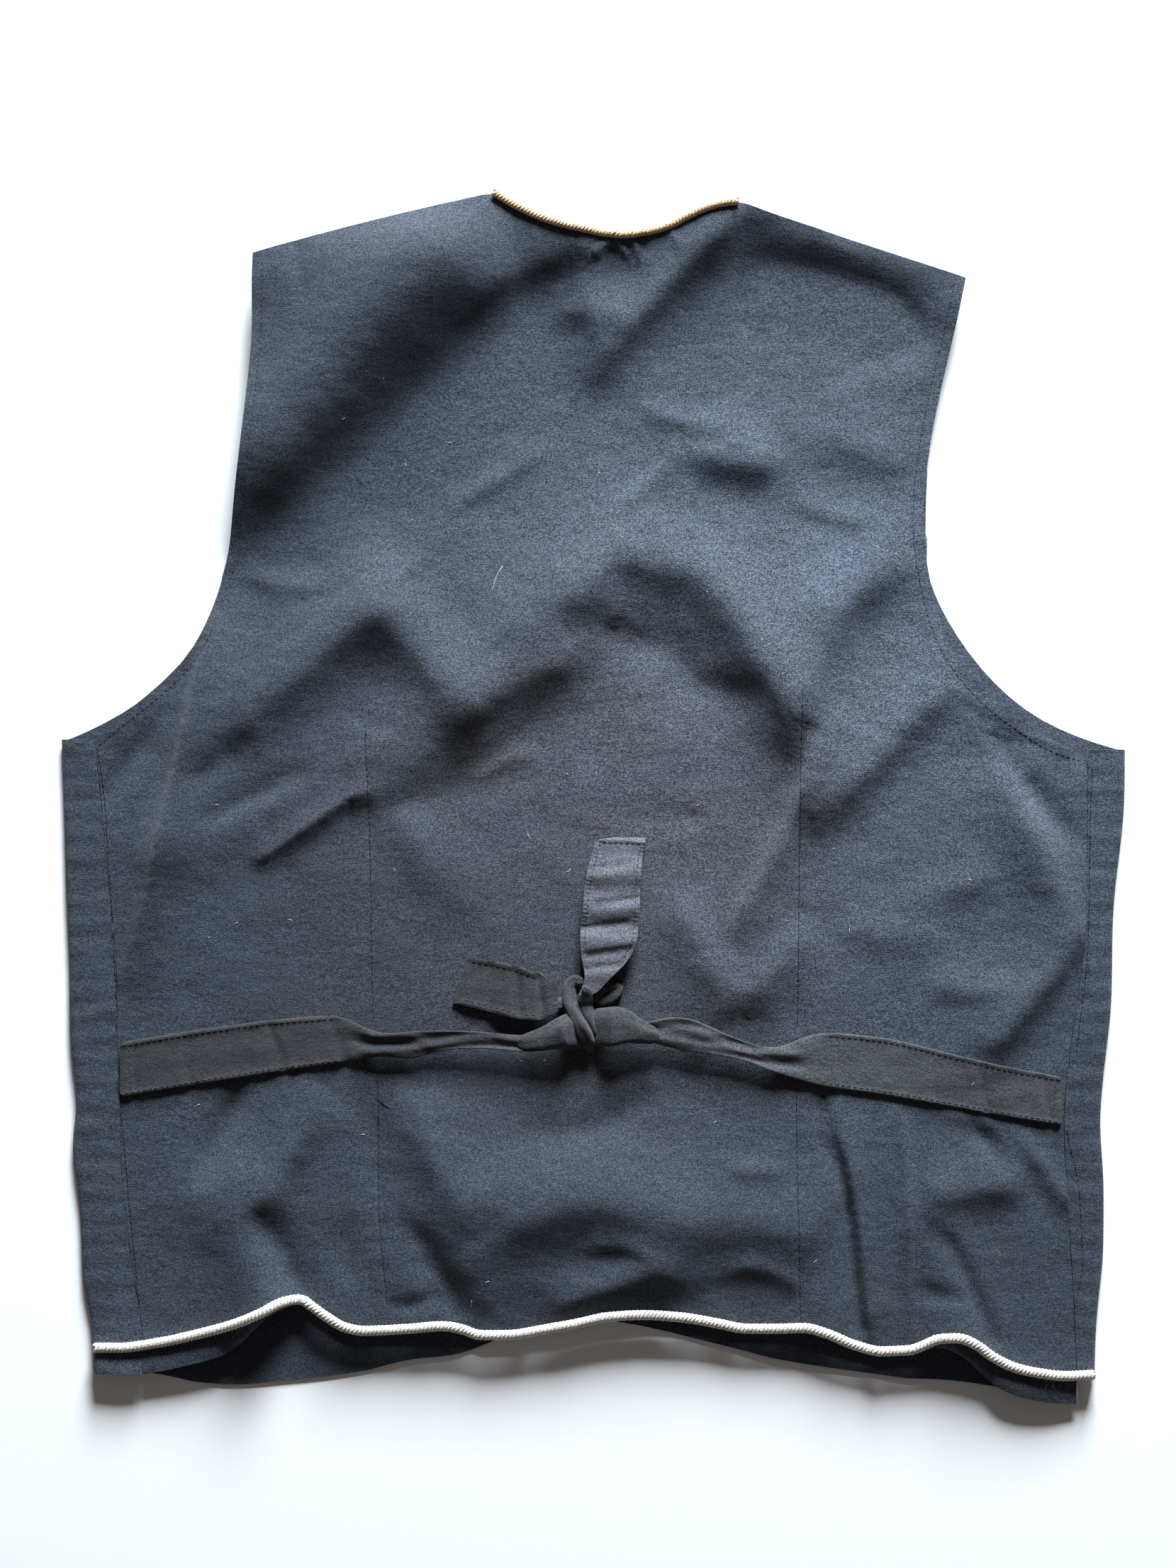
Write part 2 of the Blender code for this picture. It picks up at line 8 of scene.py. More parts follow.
import bmesh
import bpy
import numpy as np
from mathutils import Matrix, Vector, noise
from mathutils.bvhtree import BVHTree


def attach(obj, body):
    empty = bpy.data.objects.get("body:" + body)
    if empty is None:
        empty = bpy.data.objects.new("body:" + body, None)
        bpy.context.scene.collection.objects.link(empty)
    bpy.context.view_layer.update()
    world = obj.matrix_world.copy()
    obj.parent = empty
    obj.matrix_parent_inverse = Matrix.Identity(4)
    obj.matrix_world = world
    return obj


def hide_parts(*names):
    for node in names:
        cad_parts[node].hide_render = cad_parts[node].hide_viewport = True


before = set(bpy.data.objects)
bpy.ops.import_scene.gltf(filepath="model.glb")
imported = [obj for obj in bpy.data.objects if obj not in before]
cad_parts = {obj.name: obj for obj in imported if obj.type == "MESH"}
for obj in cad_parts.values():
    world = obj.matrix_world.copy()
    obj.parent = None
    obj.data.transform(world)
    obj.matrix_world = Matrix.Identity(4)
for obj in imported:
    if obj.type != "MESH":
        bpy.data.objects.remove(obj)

LOG = logging.getLogger("vest")
Triple = tuple[float, float, float]
Line = Sequence[Sequence[float]]
Socket = bpy.types.NodeSocket
MM = 0.001
# The tables' middle lies this far from the model's along Y, in millimetres.
SHIFT_Y = -0.4
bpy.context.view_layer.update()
# Folds stand FOLD_DEPTH times as high as their table says, on edges FOLD_EDGE times as wide.
FOLD_DEPTH = 1.12
FOLD_EDGE = 0.6
# A fold falls off by this power of the distance, and is left out beyond this many widths.
FOLD_POWER = 1.5
FOLD_REACH = 3.2
# Height in millimetres from which rays look down for the cloth.
RAY_TOP = 80.0
# Metres: points of a solid nearer than this are one point. Radians: its triangles are paired up
# to this angle, and a dressed piece is shaded smooth up to the other.
SAME_POINT = 2e-6
PAIR_ANGLE = 3.1
SHARP_ANGLE = math.radians(50)
# Step and reach in millimetres of the finer faces along a line, and lines' points tested at once.
REFINE_STEP = 1.5
REFINE_REACH = 3.2
REFINE_BLOCK = 40
# Millimetres: air under a strip, height of lint and of a stitch's middle over the cloth.
STRIP_AIR = 0.2
LINT_AIR = 0.12
STITCH_AIR = 0.04
# Heights in millimetres between which a front turns from underside to side wrap.
WRAP_START = 2.6
WRAP_SPAN = 1.5


class Side(Enum):
    """Which skin of a wall of cloth is kept."""

    UP = 1
    DOWN = -1


class Crease(NamedTuple):
    """A soft ridge (height above 0) or trough (below 0), in millimetres."""

    name: str
    x0: float
    y0: float
    x1: float
    y1: float
    height: float
    left: float
    right: float
    fade: float


class Fold(NamedTuple):
    """A fold along a bent line of (x, y, height) points, with its own slope on each side."""

    name: str
    line: tuple[tuple[float, float, float], ...]
    left: float
    right: float
    crisp: float


class Roll(NamedTuple):
    """A rolled strip of cloth along (x, y, half width, lift) points, in millimetres."""

    name: str
    line: tuple[tuple[float, float, float, float], ...]
    flat: float
    grooves: float


class Puckers(NamedTuple):
    """Small ripples gathered by a line of stitches, in millimetres."""

    height: float
    pitch: float


def linked(name: str, data: bpy.types.ID) -> bpy.types.Object:
    """Put new data into the scene as an object."""
    thing = bpy.data.objects.new(name, data)
    bpy.context.scene.collection.objects.link(thing)
    return thing


def only(*things: bpy.types.Object) -> None:
    """Select these objects alone and make the first one active."""
    bpy.ops.object.select_all(action="DESELECT")
    for thing in things:
        thing.select_set(True)
    bpy.context.view_layer.objects.active = things[0]


def apply_all(thing: bpy.types.Object) -> None:
    """Apply every modifier of a piece, in order."""
    only(thing)
    for modifier in list(thing.modifiers):
        bpy.ops.object.modifier_apply(modifier=modifier.name)


def weld(thing: bpy.types.Object, gap: float = 0.002) -> None:
    """Join a piece's points that lie within a gap in millimetres, and turn its faces outward."""
    only(thing)
    bpy.ops.object.mode_set(mode="EDIT")
    bpy.ops.mesh.select_all(action="SELECT")
    bpy.ops.mesh.remove_doubles(threshold=gap * MM)
    bpy.ops.mesh.normals_make_consistent(inside=False)
    bpy.ops.object.mode_set(mode="OBJECT")


def dressed(piece: bpy.types.Object, finish: bpy.types.Material,
            node: str = "") -> bpy.types.Object:
    """Give a piece its finish and its place in the model.

    Args:
        piece: the built piece.
        finish: its only material.
        node: the solid that it replaces, if any.

    Returns:
        The same piece.
    """
    piece.data.materials.clear()
    piece.data.materials.append(finish)
    if node:
        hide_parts(node)
    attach(piece, "root")
    return piece


def threads(name: str, lines: Sequence[Line], radius: float,
            sides: int = 0) -> bpy.types.Object:
    """Run a round thread along each line, all in one mesh.

    Args:
        name: the object's name.
        lines: tables of x, y, z points in millimetres.
        radius: half the thread's thickness in millimetres.
        sides: how round it is, as a curve's bevel resolution.

    Returns:
        The threads as a mesh object.
    """
    curve = bpy.data.curves.new(name, "CURVE")
    curve.dimensions = "3D"
    curve.bevel_depth = radius * MM
    curve.bevel_resolution = sides
    curve.use_fill_caps = True
    for line in lines:
        spline = curve.splines.new("POLY")
        spline.points.add(len(line) - 1)
        for spot, point in zip(spline.points, np.array(line) * MM):
            spot.co = (*point, 1.0)
    only(linked(name, curve))
    bpy.ops.object.convert(target="MESH")
    return bpy.context.active_object


def tree_of(piece: bpy.types.Object) -> BVHTree:
    """Index a piece's faces for rays, in millimetres."""
    points = [vertex.co / MM for vertex in piece.data.vertices]
    return BVHTree.FromPolygons(points, [tuple(face.vertices) for face in piece.data.polygons])


def heights_at(trees: Sequence[BVHTree], x: float, y: float) -> list[float]:
    """Height of every indexed piece that lies under a place."""
    hits = [tree.ray_cast(Vector((x, y, RAY_TOP)), Vector((0, 0, -1)))[0] for tree in trees]
    return [hit.z for hit in hits if hit is not None]


def corners(mesh: bpy.types.Mesh) -> np.ndarray:
    """Read a mesh's points in millimetres."""
    points = np.zeros(len(mesh.vertices) * 3, np.float32)
    mesh.vertices.foreach_get("co", points)
    return points.reshape(-1, 3).astype(float) / MM


def set_corners(mesh: bpy.types.Mesh, points: np.ndarray) -> None:
    """Write a mesh's points, given in millimetres."""
    mesh.vertices.foreach_set("co", (points * MM).astype(np.float32).ravel())
    mesh.update()


def track(rows: Line, keys: np.ndarray) -> np.ndarray:
    """Read a table's columns along a smooth curve.

    Args:
        rows: table rows, the key in the first column.
        keys: where to read.

    Returns:
        One row for each key, without the key column.
    """
    table = np.array(sorted(rows), float)
    key, value = table[:, 0], table[:, 1:]
    keys = np.clip(np.asarray(keys, float), key[0], key[-1])
    slope = np.diff(value, axis=0) / np.diff(key)[:, None]
    rate = np.zeros_like(value)
    same = slope[:-1] * slope[1:] > 0
    mean = 2 * slope[:-1] * slope[1:] / np.where(same, slope[:-1] + slope[1:], 1)
    rate[1:-1] = np.where(same, mean, 0)
    rate[0], rate[-1] = slope[0], slope[-1]
    place = np.clip(np.searchsorted(key, keys, side="right") - 1, 0, len(key) - 2)
    span = np.diff(key)[place][:, None]
    t = ((keys - key[place]) / span[:, 0])[:, None]
    return ((2 * t**3 - 3 * t**2 + 1) * value[place] + (t**3 - 2 * t**2 + t) * span * rate[place]
            + (3 * t**2 - 2 * t**3) * value[place + 1] + (t**3 - t**2) * span * rate[place + 1])


def walked(points: Line, step: float) -> np.ndarray:
    """Walk a smooth line through the points at an even step, in millimetres."""
    spots = np.array(points, float)
    reach = np.concatenate([[0], np.cumsum(np.linalg.norm(np.diff(spots, axis=0), axis=1))])
    rows = [(key, *spot) for key, spot in zip(reach, spots)]
    dense = track(rows, np.linspace(0, reach[-1], max(60, int(reach[-1]))))
    length = np.concatenate([[0], np.cumsum(np.linalg.norm(np.diff(dense, axis=0), axis=1))])
    wanted = np.linspace(0, length[-1], max(2, round(length[-1] / step) + 1))
    return np.stack([np.interp(wanted, length, dense[:, axis]) for axis in range(dense.shape[1])], 1)


def crease_rise(places: np.ndarray, creases: Sequence[Crease]) -> np.ndarray:
    """Sum the creases' heights at each place."""
    rise = np.zeros(len(places))
    for crease in creases:
        start = np.array([crease.x0, crease.y0 + SHIFT_Y])
        run = np.array([crease.x1 - crease.x0, crease.y1 - crease.y0], float)
        length = float(np.linalg.norm(run))
        run /= length
        off = places[:, :2] - start
        walk = off @ run
        side = off @ np.array([-run[1], run[0]])
        beyond = np.maximum(0, np.maximum(-walk, walk - length))
        width = np.where(side > 0, crease.left, crease.right)
        rise += crease.height * np.exp(-(side / width) ** 2 - (beyond / crease.fade) ** 2)
    return rise


def fold_rise(places: np.ndarray, folds: Sequence[Fold]) -> np.ndarray:
    """Sum the folds' heights at each place.

    Args:
        places: points in millimetres.
        folds: rows of the fold table.

    Returns:
        The height to add at each place.
    """
    rise = np.zeros(len(places))
    for fold in folds:
        line = walked(fold.line, 2.0)
        crisp = fold.crisp * FOLD_EDGE
        spots = line[:, :2] + (0, SHIFT_Y)
        run = np.gradient(spots, axis=0)
        run /= np.linalg.norm(run, axis=1, keepdims=True)
        reach = FOLD_REACH * (max(fold.left, fold.right) + crisp)
        box = np.ptp(spots, axis=0) / 2 + reach * 1.4
        near = np.flatnonzero((np.abs(places[:, :2] - spots.mean(0)) < box).all(1))
        off = places[near, None, :2] - spots[None]
        gap = (off**2).sum(2)
        spot = gap.argmin(1)
        best = off[np.arange(len(near)), spot]
        side = run[spot, 0] * best[:, 1] - run[spot, 1] * best[:, 0]
        away = np.sqrt(gap.min(1))
        width = np.where(side > 0, fold.left, fold.right)
        round_off = np.sqrt(away**2 + crisp**2) - crisp
        rise[near] += FOLD_DEPTH * line[spot, 2] * np.exp(-((round_off / width) ** FOLD_POWER))
    return rise


def mottle(places: np.ndarray, size: float, seed: float) -> np.ndarray:
    """Soft noise from -1 to 1 with bumps of about the given size."""
    return np.array([noise.noise(Vector((x / size + seed, y / size, z / size + seed)))
                     for x, y, z in places])


# ---------------------------------------------------------------- finishes


@dataclass
class Recipe:
    """Builds one node material with few words."""

    name: str
    material: bpy.types.Material = field(init=False)

    def __post_init__(self) -> None:
        """Start an empty node tree with a Principled shader."""
        self.material = bpy.data.materials.new(self.name)
        self.material.use_nodes = True
        self.tree = self.material.node_tree
        self.shader = self.tree.nodes["Principled BSDF"]
        self.place = self.tree.nodes.new("ShaderNodeTexCoord").outputs["Object"]

    def link(self, start: Socket, end: Socket) -> None:
        """Join two sockets."""
        self.tree.links.new(start, end)

    def scaled(self, scale: Triple, turn: float = 0.0) -> Socket:
        """Object coordinates stretched along each axis and turned about Z."""
        mapping = self.tree.nodes.new("ShaderNodeMapping")
        mapping.inputs["Scale"].default_value = scale
        mapping.inputs["Rotation"].default_value = (0.0, 0.0, turn)
        self.link(self.place, mapping.inputs["Vector"])
        return mapping.outputs["Vector"]

    def grain(self, vector: Socket, detail: float = 2.0,
              rough: float = 0.5) -> Socket:
        """Noise at scale 1 on a stretched vector."""
        made = self.tree.nodes.new("ShaderNodeTexNoise")
        made.inputs["Scale"].default_value = 1.0
        made.inputs["Detail"].default_value = detail
        made.inputs["Roughness"].default_value = rough
        self.link(vector, made.inputs["Vector"])
        return made.outputs["Fac"]

    def ramp(self, value: Socket, low: float, high: float, start: float = 0.0,
             end: float = 1.0) -> Socket:
        """Stretch a value from low..high to start..end, clamped."""
        made = self.tree.nodes.new("ShaderNodeMapRange")
        for name, number in (("From Min", low), ("From Max", high), ("To Min", start), ("To Max", end)):
            made.inputs[name].default_value = number
        self.link(value, made.inputs["Value"])
        return made.outputs["Result"]

    def patches(self, scale: Triple, detail: float, rough: float, low: float, high: float,
                turn: float = 0.0) -> Socket:
        """Noise of a scale along each axis, stretched from low..high to 0..1."""
        return self.ramp(self.grain(self.scaled(scale, turn), detail, rough), low, high)

    def times(self, first: Socket,
              second: Socket | float) -> Socket:
        """Multiply two values."""
        made = self.tree.nodes.new("ShaderNodeMath")
        made.operation = "MULTIPLY"
        self.link(first, made.inputs[0])
        if isinstance(second, float):
            made.inputs[1].default_value = second
        else:
            self.link(second, made.inputs[1])
        return made.outputs["Value"]

    def mix(self, share: Socket, first: Socket | Triple,
            second: Socket | Triple) -> Socket:
        """Mix two colours by a share."""
        made = self.tree.nodes.new("ShaderNodeMix")
        made.data_type = "RGBA"
        self.link(share, made.inputs["Factor"])
        for key, colour in (("A", first), ("B", second)):
            if isinstance(colour, tuple):
                made.inputs[key].default_value = (*colour, 1.0)
            else:
                self.link(colour, made.inputs[key])
        return made.outputs["Result"]

    def away(self, spot: Triple) -> Socket:
        """Distance from a spot of the model, in metres."""
        made = self.tree.nodes.new("ShaderNodeVectorMath")
        made.operation = "DISTANCE"
        made.inputs[1].default_value = spot
        self.link(self.place, made.inputs[0])
        return made.outputs["Value"]

    def bump(self, height: Socket, depth: float,
             under: Socket | None = None) -> Socket:
        """Bump of a depth in metres, on top of another if given."""
        made = self.tree.nodes.new("ShaderNodeBump")
        made.inputs["Strength"].default_value = 1.0
        made.inputs["Distance"].default_value = depth
        self.link(height, made.inputs["Height"])
        if under is not None:
            self.link(under, made.inputs["Normal"])
        return made.outputs["Normal"]


@dataclass(frozen=True)
class SlubCotton:
    """Plain-weave cotton with uneven weft threads and a dry heathered grain, painted shade that darkens it
    away from the middle, and a warmer middle that is partly its own tone and partly painted lamp light.
    """

    name: str
    dark: Triple
    base: Triple
    pale: Triple
    warm: Triple
    # Pale grain colour of the warmer middle, partly the cloth's own tone and partly painted warm lamp light.
    warm_middle_pale: Triple | None = None
    turn: float = 0.017
    thread: float = 0.62
    roughness: float = 0.86

    def bands(self, recipe: Recipe, direction: str, unevenness: float) -> Socket:
        """Threads side by side along one axis."""
        pitch = 1.0 / (self.thread * MM)
        made = recipe.tree.nodes.new("ShaderNodeTexWave")
        made.bands_direction = direction
        made.inputs["Scale"].default_value = 1.0
        made.inputs["Distortion"].default_value = unevenness
        recipe.link(recipe.scaled((pitch / 3, pitch / 3, pitch / 3), self.turn), made.inputs["Vector"])
        return made.outputs["Fac"]

    def build(self) -> bpy.types.Material:
        """Make the material."""
        recipe = Recipe(self.name)
        cloud = recipe.patches((16, 22, 16), 3.0, 0.55, 0.35, 0.68)
        patch = recipe.patches((90, 130, 90), 3.0, 0.6, 0.3, 0.7, self.turn)
        heather = recipe.patches((1350, 1600, 1250), 2.0, 0.65, 0.40, 0.61, self.turn)
        pepper = recipe.patches((900, 1250, 900), 1.0, 0.5, 0.56, 0.68, self.turn)
        streak = recipe.patches((150, 1200, 300), 2.0, 0.6, 0.38, 0.62, self.turn)
        thick = recipe.patches((210, 1500, 300), 1.0, 0.5, 0.66, 0.74, self.turn)
        # Painted shade: the cloth darkens with distance from a spot right of the middle, standing in for
        # light that falls off towards the neck, hem and sides.
        painted_edge_shade = recipe.ramp(recipe.away((0.09, 0.05, 0.0)), 0.06, 0.25)
        # The middle is warmer and less blue: partly the cloth's own tone, partly painted warm lamp light.
        own_tone_and_lamp_warmth = recipe.ramp(recipe.away((0.0, -0.03, 0.0)), 0.07, 0.19, 0.9, 0.15)
        pale = recipe.mix(own_tone_and_lamp_warmth, self.pale, self.warm_middle_pale or self.pale)
        colour = recipe.mix(recipe.times(cloud, own_tone_and_lamp_warmth), self.base, self.warm)
        for share, strength, tone in ((patch, 0.48, self.dark), (heather, 0.85, pale),
                                      (streak, 0.16, self.dark), (thick, 0.35, self.dark),
                                      (pepper, 0.7, self.dark), (painted_edge_shade, 0.55, self.dark)):
            colour = recipe.mix(recipe.times(share, strength), colour, tone)
        recipe.link(colour, recipe.shader.inputs["Base Color"])
        weave = recipe.times(self.bands(recipe, "Y", 1.2), self.bands(recipe, "X", 1.0))
        normal = recipe.bump(weave, 0.00006)
        normal = recipe.bump(heather, 0.00006, normal)
        normal = recipe.bump(patch, 0.0003, normal)
        recipe.link(normal, recipe.shader.inputs["Normal"])
        recipe.shader.inputs["Roughness"].default_value = self.roughness
        for name, number in (("Specular IOR Level", 0.18), ("Sheen Weight", 0.12), ("Sheen Roughness", 0.6)):
            recipe.shader.inputs[name].default_value = number
        return recipe.material


@dataclass(frozen=True)
class TwistedYarn:
    """Soft yarn of a twisted cord, with fibres and painted shade in the grooves between its strands."""

    name: str
    light: Triple
    shade: Triple
    roughness: float = 0.78

    def build(self) -> bpy.types.Material:
        """Make the material."""
        recipe = Recipe(self.name)
        fibre = recipe.patches((900, 900, 900), 3.0, 0.7, 0.32, 0.68, 0.6)
        patch = recipe.patches((130, 130, 130), 2.0, 0.5, 0.35, 0.7)
        colour = recipe.mix(recipe.times(fibre, 0.35), self.light, self.shade)
        colour = recipe.mix(recipe.times(patch, 0.25), colour, self.shade)
        # Painted shade: the hollow attribute marks the grooves between strands, and there the yarn is
        # darkened towards a deep shade colour.
        hollow = recipe.tree.nodes.new("ShaderNodeAttribute")
        hollow.attribute_name = "hollow"
        painted_hollow_shade = recipe.times(recipe.ramp(hollow.outputs["Fac"], 0.10, 0.42), 0.9)
        colour = recipe.mix(painted_hollow_shade, colour, tuple(channel * 0.35 for channel in self.shade))
        recipe.link(colour, recipe.shader.inputs["Base Color"])
        recipe.link(recipe.bump(fibre, 0.00025), recipe.shader.inputs["Normal"])
        recipe.shader.inputs["Roughness"].default_value = self.roughness
        recipe.shader.inputs["Sheen Weight"].default_value = 0.2
        return recipe.material


@dataclass(frozen=True)
class PlainPaint:
    """Matte studio surface or sewing thread of one colour with a faint grain."""

    name: str
    colour: Triple
    roughness: float = 0.9

    def build(self) -> bpy.types.Material:
        """Make the material."""
        recipe = Recipe(self.name)
        soft = recipe.ramp(recipe.grain(recipe.scaled((300, 300, 300))), 0.2, 0.8, 0.0, 0.08)
        darker = tuple(channel * 0.8 for channel in self.colour)
        recipe.link(recipe.mix(soft, self.colour, darker), recipe.shader.inputs["Base Color"])
        recipe.shader.inputs["Roughness"].default_value = self.roughness
        return recipe.material


# ---------------------------------------------------------------- cloth pieces


@dataclass
class ClothPiece:
    """One panel or strip: the outer skin of its solid, subdivided, creased and given a thin wall."""

    node: str
    slot: str
    side: Side = Side.UP
    levels: int = 2
    wall: float = 0.9
    creases: Sequence[Crease] = ()
    folds: Sequence[Fold] = ()
    refine: Sequence[Line] = ()
    grain: float = 0.45
    floor: float = 0.0
    under: "Surface | None" = None
    rim_edge: float = 1.34
    whole: bool = False
    piece: bpy.types.Object = field(init=False)

    def build(self) -> bpy.types.Object:
        """Make the piece from a copy of its solid."""
        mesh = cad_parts[self.node].data.copy()
        mesh.name = f"{self.node}_cloth"
        mesh.materials.clear()
        self.piece = linked(f"{self.node}_cloth", mesh)
        if self.whole:
            self.merge()
        else:
            self.peel()
        self.soften()
        self.refine_lines()
        self.shape()
        if not self.whole:
            self.thicken()
        self.smooth()
        return self.piece

    def merge(self) -> None:
        """Join the copy's points and pair its triangles."""
        only(self.piece)
        bpy.ops.object.mode_set(mode="EDIT")
        bpy.ops.mesh.select_all(action="SELECT")
        bpy.ops.mesh.remove_doubles(threshold=SAME_POINT)
        bpy.ops.mesh.tris_convert_to_quads(face_threshold=PAIR_ANGLE, shape_threshold=PAIR_ANGLE)
        bpy.ops.object.mode_set(mode="OBJECT")

    def peel(self) -> None:
        """Keep only the outer skin: drop the rim of the wall and its inner skin."""
        self.merge()
        bpy.ops.object.mode_set(mode="EDIT")
        form = bmesh.from_edit_mesh(self.piece.data)
        rim = [face for face in form.faces
               if min(edge.calc_length() for edge in face.edges) < self.rim_edge * MM]
        bmesh.ops.delete(form, geom=rim, context="FACES")
        left = set(form.faces)
        runs = []
        while left:
            seed = left.pop()
            run, waiting = [seed], [seed]
            while waiting:
                for edge in waiting.pop().edges:
                    found = [face for face in edge.link_faces if face in left]
                    left.difference_update(found)
                    run += found
                    waiting += found
            runs.append(run)
        runs.sort(key=lambda faces: sum(face.calc_area() for face in faces), reverse=True)
        kept = set(max(runs[:2], key=lambda faces: self.side.value
                       * sum(face.calc_area() * face.normal.z for face in faces)))
        bmesh.ops.delete(form, geom=[face for face in form.faces if face not in kept], context="FACES")
        bmesh.update_edit_mesh(self.piece.data)
        bpy.ops.object.mode_set(mode="OBJECT")

    def soften(self) -> None:
        """Subdivide the skin smoothly."""
        smooth = self.piece.modifiers.new("soft", "SUBSURF")
        smooth.levels = smooth.render_levels = self.levels
        smooth.boundary_smooth = "PRESERVE_CORNERS"
        apply_all(self.piece)

    def refine_lines(self) -> None:
        """Add finer faces along the lines that carry seams and sharp creases."""
        for line in self.refine:
            dense = walked(line, REFINE_STEP)
            only(self.piece)
            bpy.ops.object.mode_set(mode="EDIT")
            bpy.ops.mesh.select_all(action="DESELECT")
            form = bmesh.from_edit_mesh(self.piece.data)
            centres = np.array([face.calc_center_median() for face in form.faces])[:, :2] / MM
            centres[:, 1] -= SHIFT_Y
            near = np.zeros(len(centres), bool)
            for block in range(0, len(dense), REFINE_BLOCK):
                gap = centres[:, None] - dense[None, block:block + REFINE_BLOCK]
                near |= (gap**2).sum(2).min(1) < REFINE_REACH**2
            for face, hit in zip(form.faces, near):
                face.select = bool(hit)
            bmesh.update_edit_mesh(self.piece.data)
            bpy.ops.mesh.subdivide(number_cuts=1, smoothness=0.0)
            bpy.ops.object.mode_set(mode="OBJECT")

    def marks(self, points: np.ndarray) -> np.ndarray:
        """Height of the listed folds and creases."""
        return fold_rise(points, self.folds) + crease_rise(points, self.creases)

    def rise(self, points: np.ndarray) -> np.ndarray:
        """How far each point of the back moves up, in millimetres."""
        fine = self.grain * (mottle(points, 26.0, 3.0) + 0.7 * mottle(points, 9.0, 8.0))
        return fold_rise(points, SHOULDER_LIFT) + self.marks(points) + fine

    def shape(self) -> None:
        """Press the creases and the fine unevenness into the skin."""
        points = corners(self.piece.data)
        lowest = np.minimum(points[:, 2], self.floor)
        if self.under is not None:
            facing = np.array([vertex.normal.z for vertex in self.piece.data.vertices])
            lowest = np.array([self.under.top(x, y) for x, y in points[:, :2]]) + STRIP_AIR
            lowest += self.wall * np.clip(facing * 2 + 0.5, 0, 1)
        points[:, 2] = np.maximum(points[:, 2] + self.rise(points), lowest)
        set_corners(self.piece.data, points)

    def thicken(self) -> None:
        """Give the skin a thin wall on its inner side."""
        wall = self.piece.modifiers.new("wall", "SOLIDIFY")
        wall.thickness = self.wall * MM
        wall.offset = -1.0
        apply_all(self.piece)

    def smooth(self) -> None:
        """Shade the cloth smooth, its cut edges sharp."""
        only(self.piece)
        bpy.ops.object.shade_smooth_by_angle(angle=SHARP_ANGLE)

    def dress(self, finish: bpy.types.Material) -> None:
        """Give the piece its finish and its place in the model."""
        dressed(self.piece, finish, self.node)
        LOG.info("%s: %d faces", self.piece.name, len(self.piece.data.polygons))


@dataclass
class FrontPanel(ClothPiece):
    """A front: flat underneath, wrapped round the side fold, puckered along its side seam."""

    side: Side = Side.DOWN
    puckers: Puckers = Puckers(0.55, 11.0)

    def rise(self, points: np.ndarray) -> np.ndarray:
        """Ripples on the part that is folded over to the back, none on the flat underside."""
        top = np.clip((points[:, 2] - WRAP_START) / WRAP_SPAN, 0, 1)
        wave = np.sin(points[:, 1] / self.puckers.pitch * 2 * math.pi + 2.0 * mottle(points, 30.0, 1.0))
        lift = fold_rise(points, SHOULDER_LIFT) + top * fold_rise(points, HEM_CORNERS)
        return lift + top * self.puckers.height * (0.6 * wave + mottle(points, 14.0, 5.0))

    def thicken(self) -> None:
        """Give the skin its wall and keep the underside on the table."""
        super().thicken()
        points = corners(self.piece.data)
        points[:, 2] = np.maximum(points[:, 2], 0.0)
        set_corners(self.piece.data, points)


@dataclass
class TieStrip(ClothPiece):
    """A belt strip: smooth where stitched down, wrinkled lengthwise where free."""

    free_from: float = -118.0
    free_to: float = 0.0
    blend: float = 8.0
    wrinkle: float = 0.22

    def rise(self, points: np.ndarray) -> np.ndarray:
        """Puckers along the stitched length, twisted wrinkles along the free one."""
        x, y = points[:, 0], points[:, 1]
        free = np.clip((x - self.free_from) / self.blend, 0, 1)
        free *= np.clip((self.free_to - x) / self.blend, 0, 1)
        twist = np.sin(y * 0.75 + x * 0.10 + 2.6 * mottle(points, 14.0, 2.0))
        loose = self.wrinkle * twist + 0.6 * mottle(points * (0.45, 1.0, 1), 8.0, 4.0)
        sewn = 0.28 * mottle(points, 8.0, 6.0) + 0.18 * mottle(points, 20.0, 7.0)
        return free * loose + (1 - free) * sewn + self.marks(points)


@dataclass
class FreeEnd(ClothPiece):
    """A free end of the belt, creased across."""

    def rise(self, points: np.ndarray) -> np.ndarray:
        """Listed creases and small unevenness."""
        return self.marks(points) + 0.3 * mottle(points, 8.0, 4.0)


# ---------------------------------------------------------------- stitches and cords


@dataclass
class Surface:
    """Height of the dressed cloth under a place."""

    pieces: Sequence[bpy.types.Object]

    def __post_init__(self) -> None:
        """Index every piece."""
        self.trees = [tree_of(piece) for piece in self.pieces]

    def top(self, x: float, y: float) -> float:
        """Highest point of the pieces at a place, or 0 beside them."""
        return max(heights_at(self.trees, x, y), default=0.0)


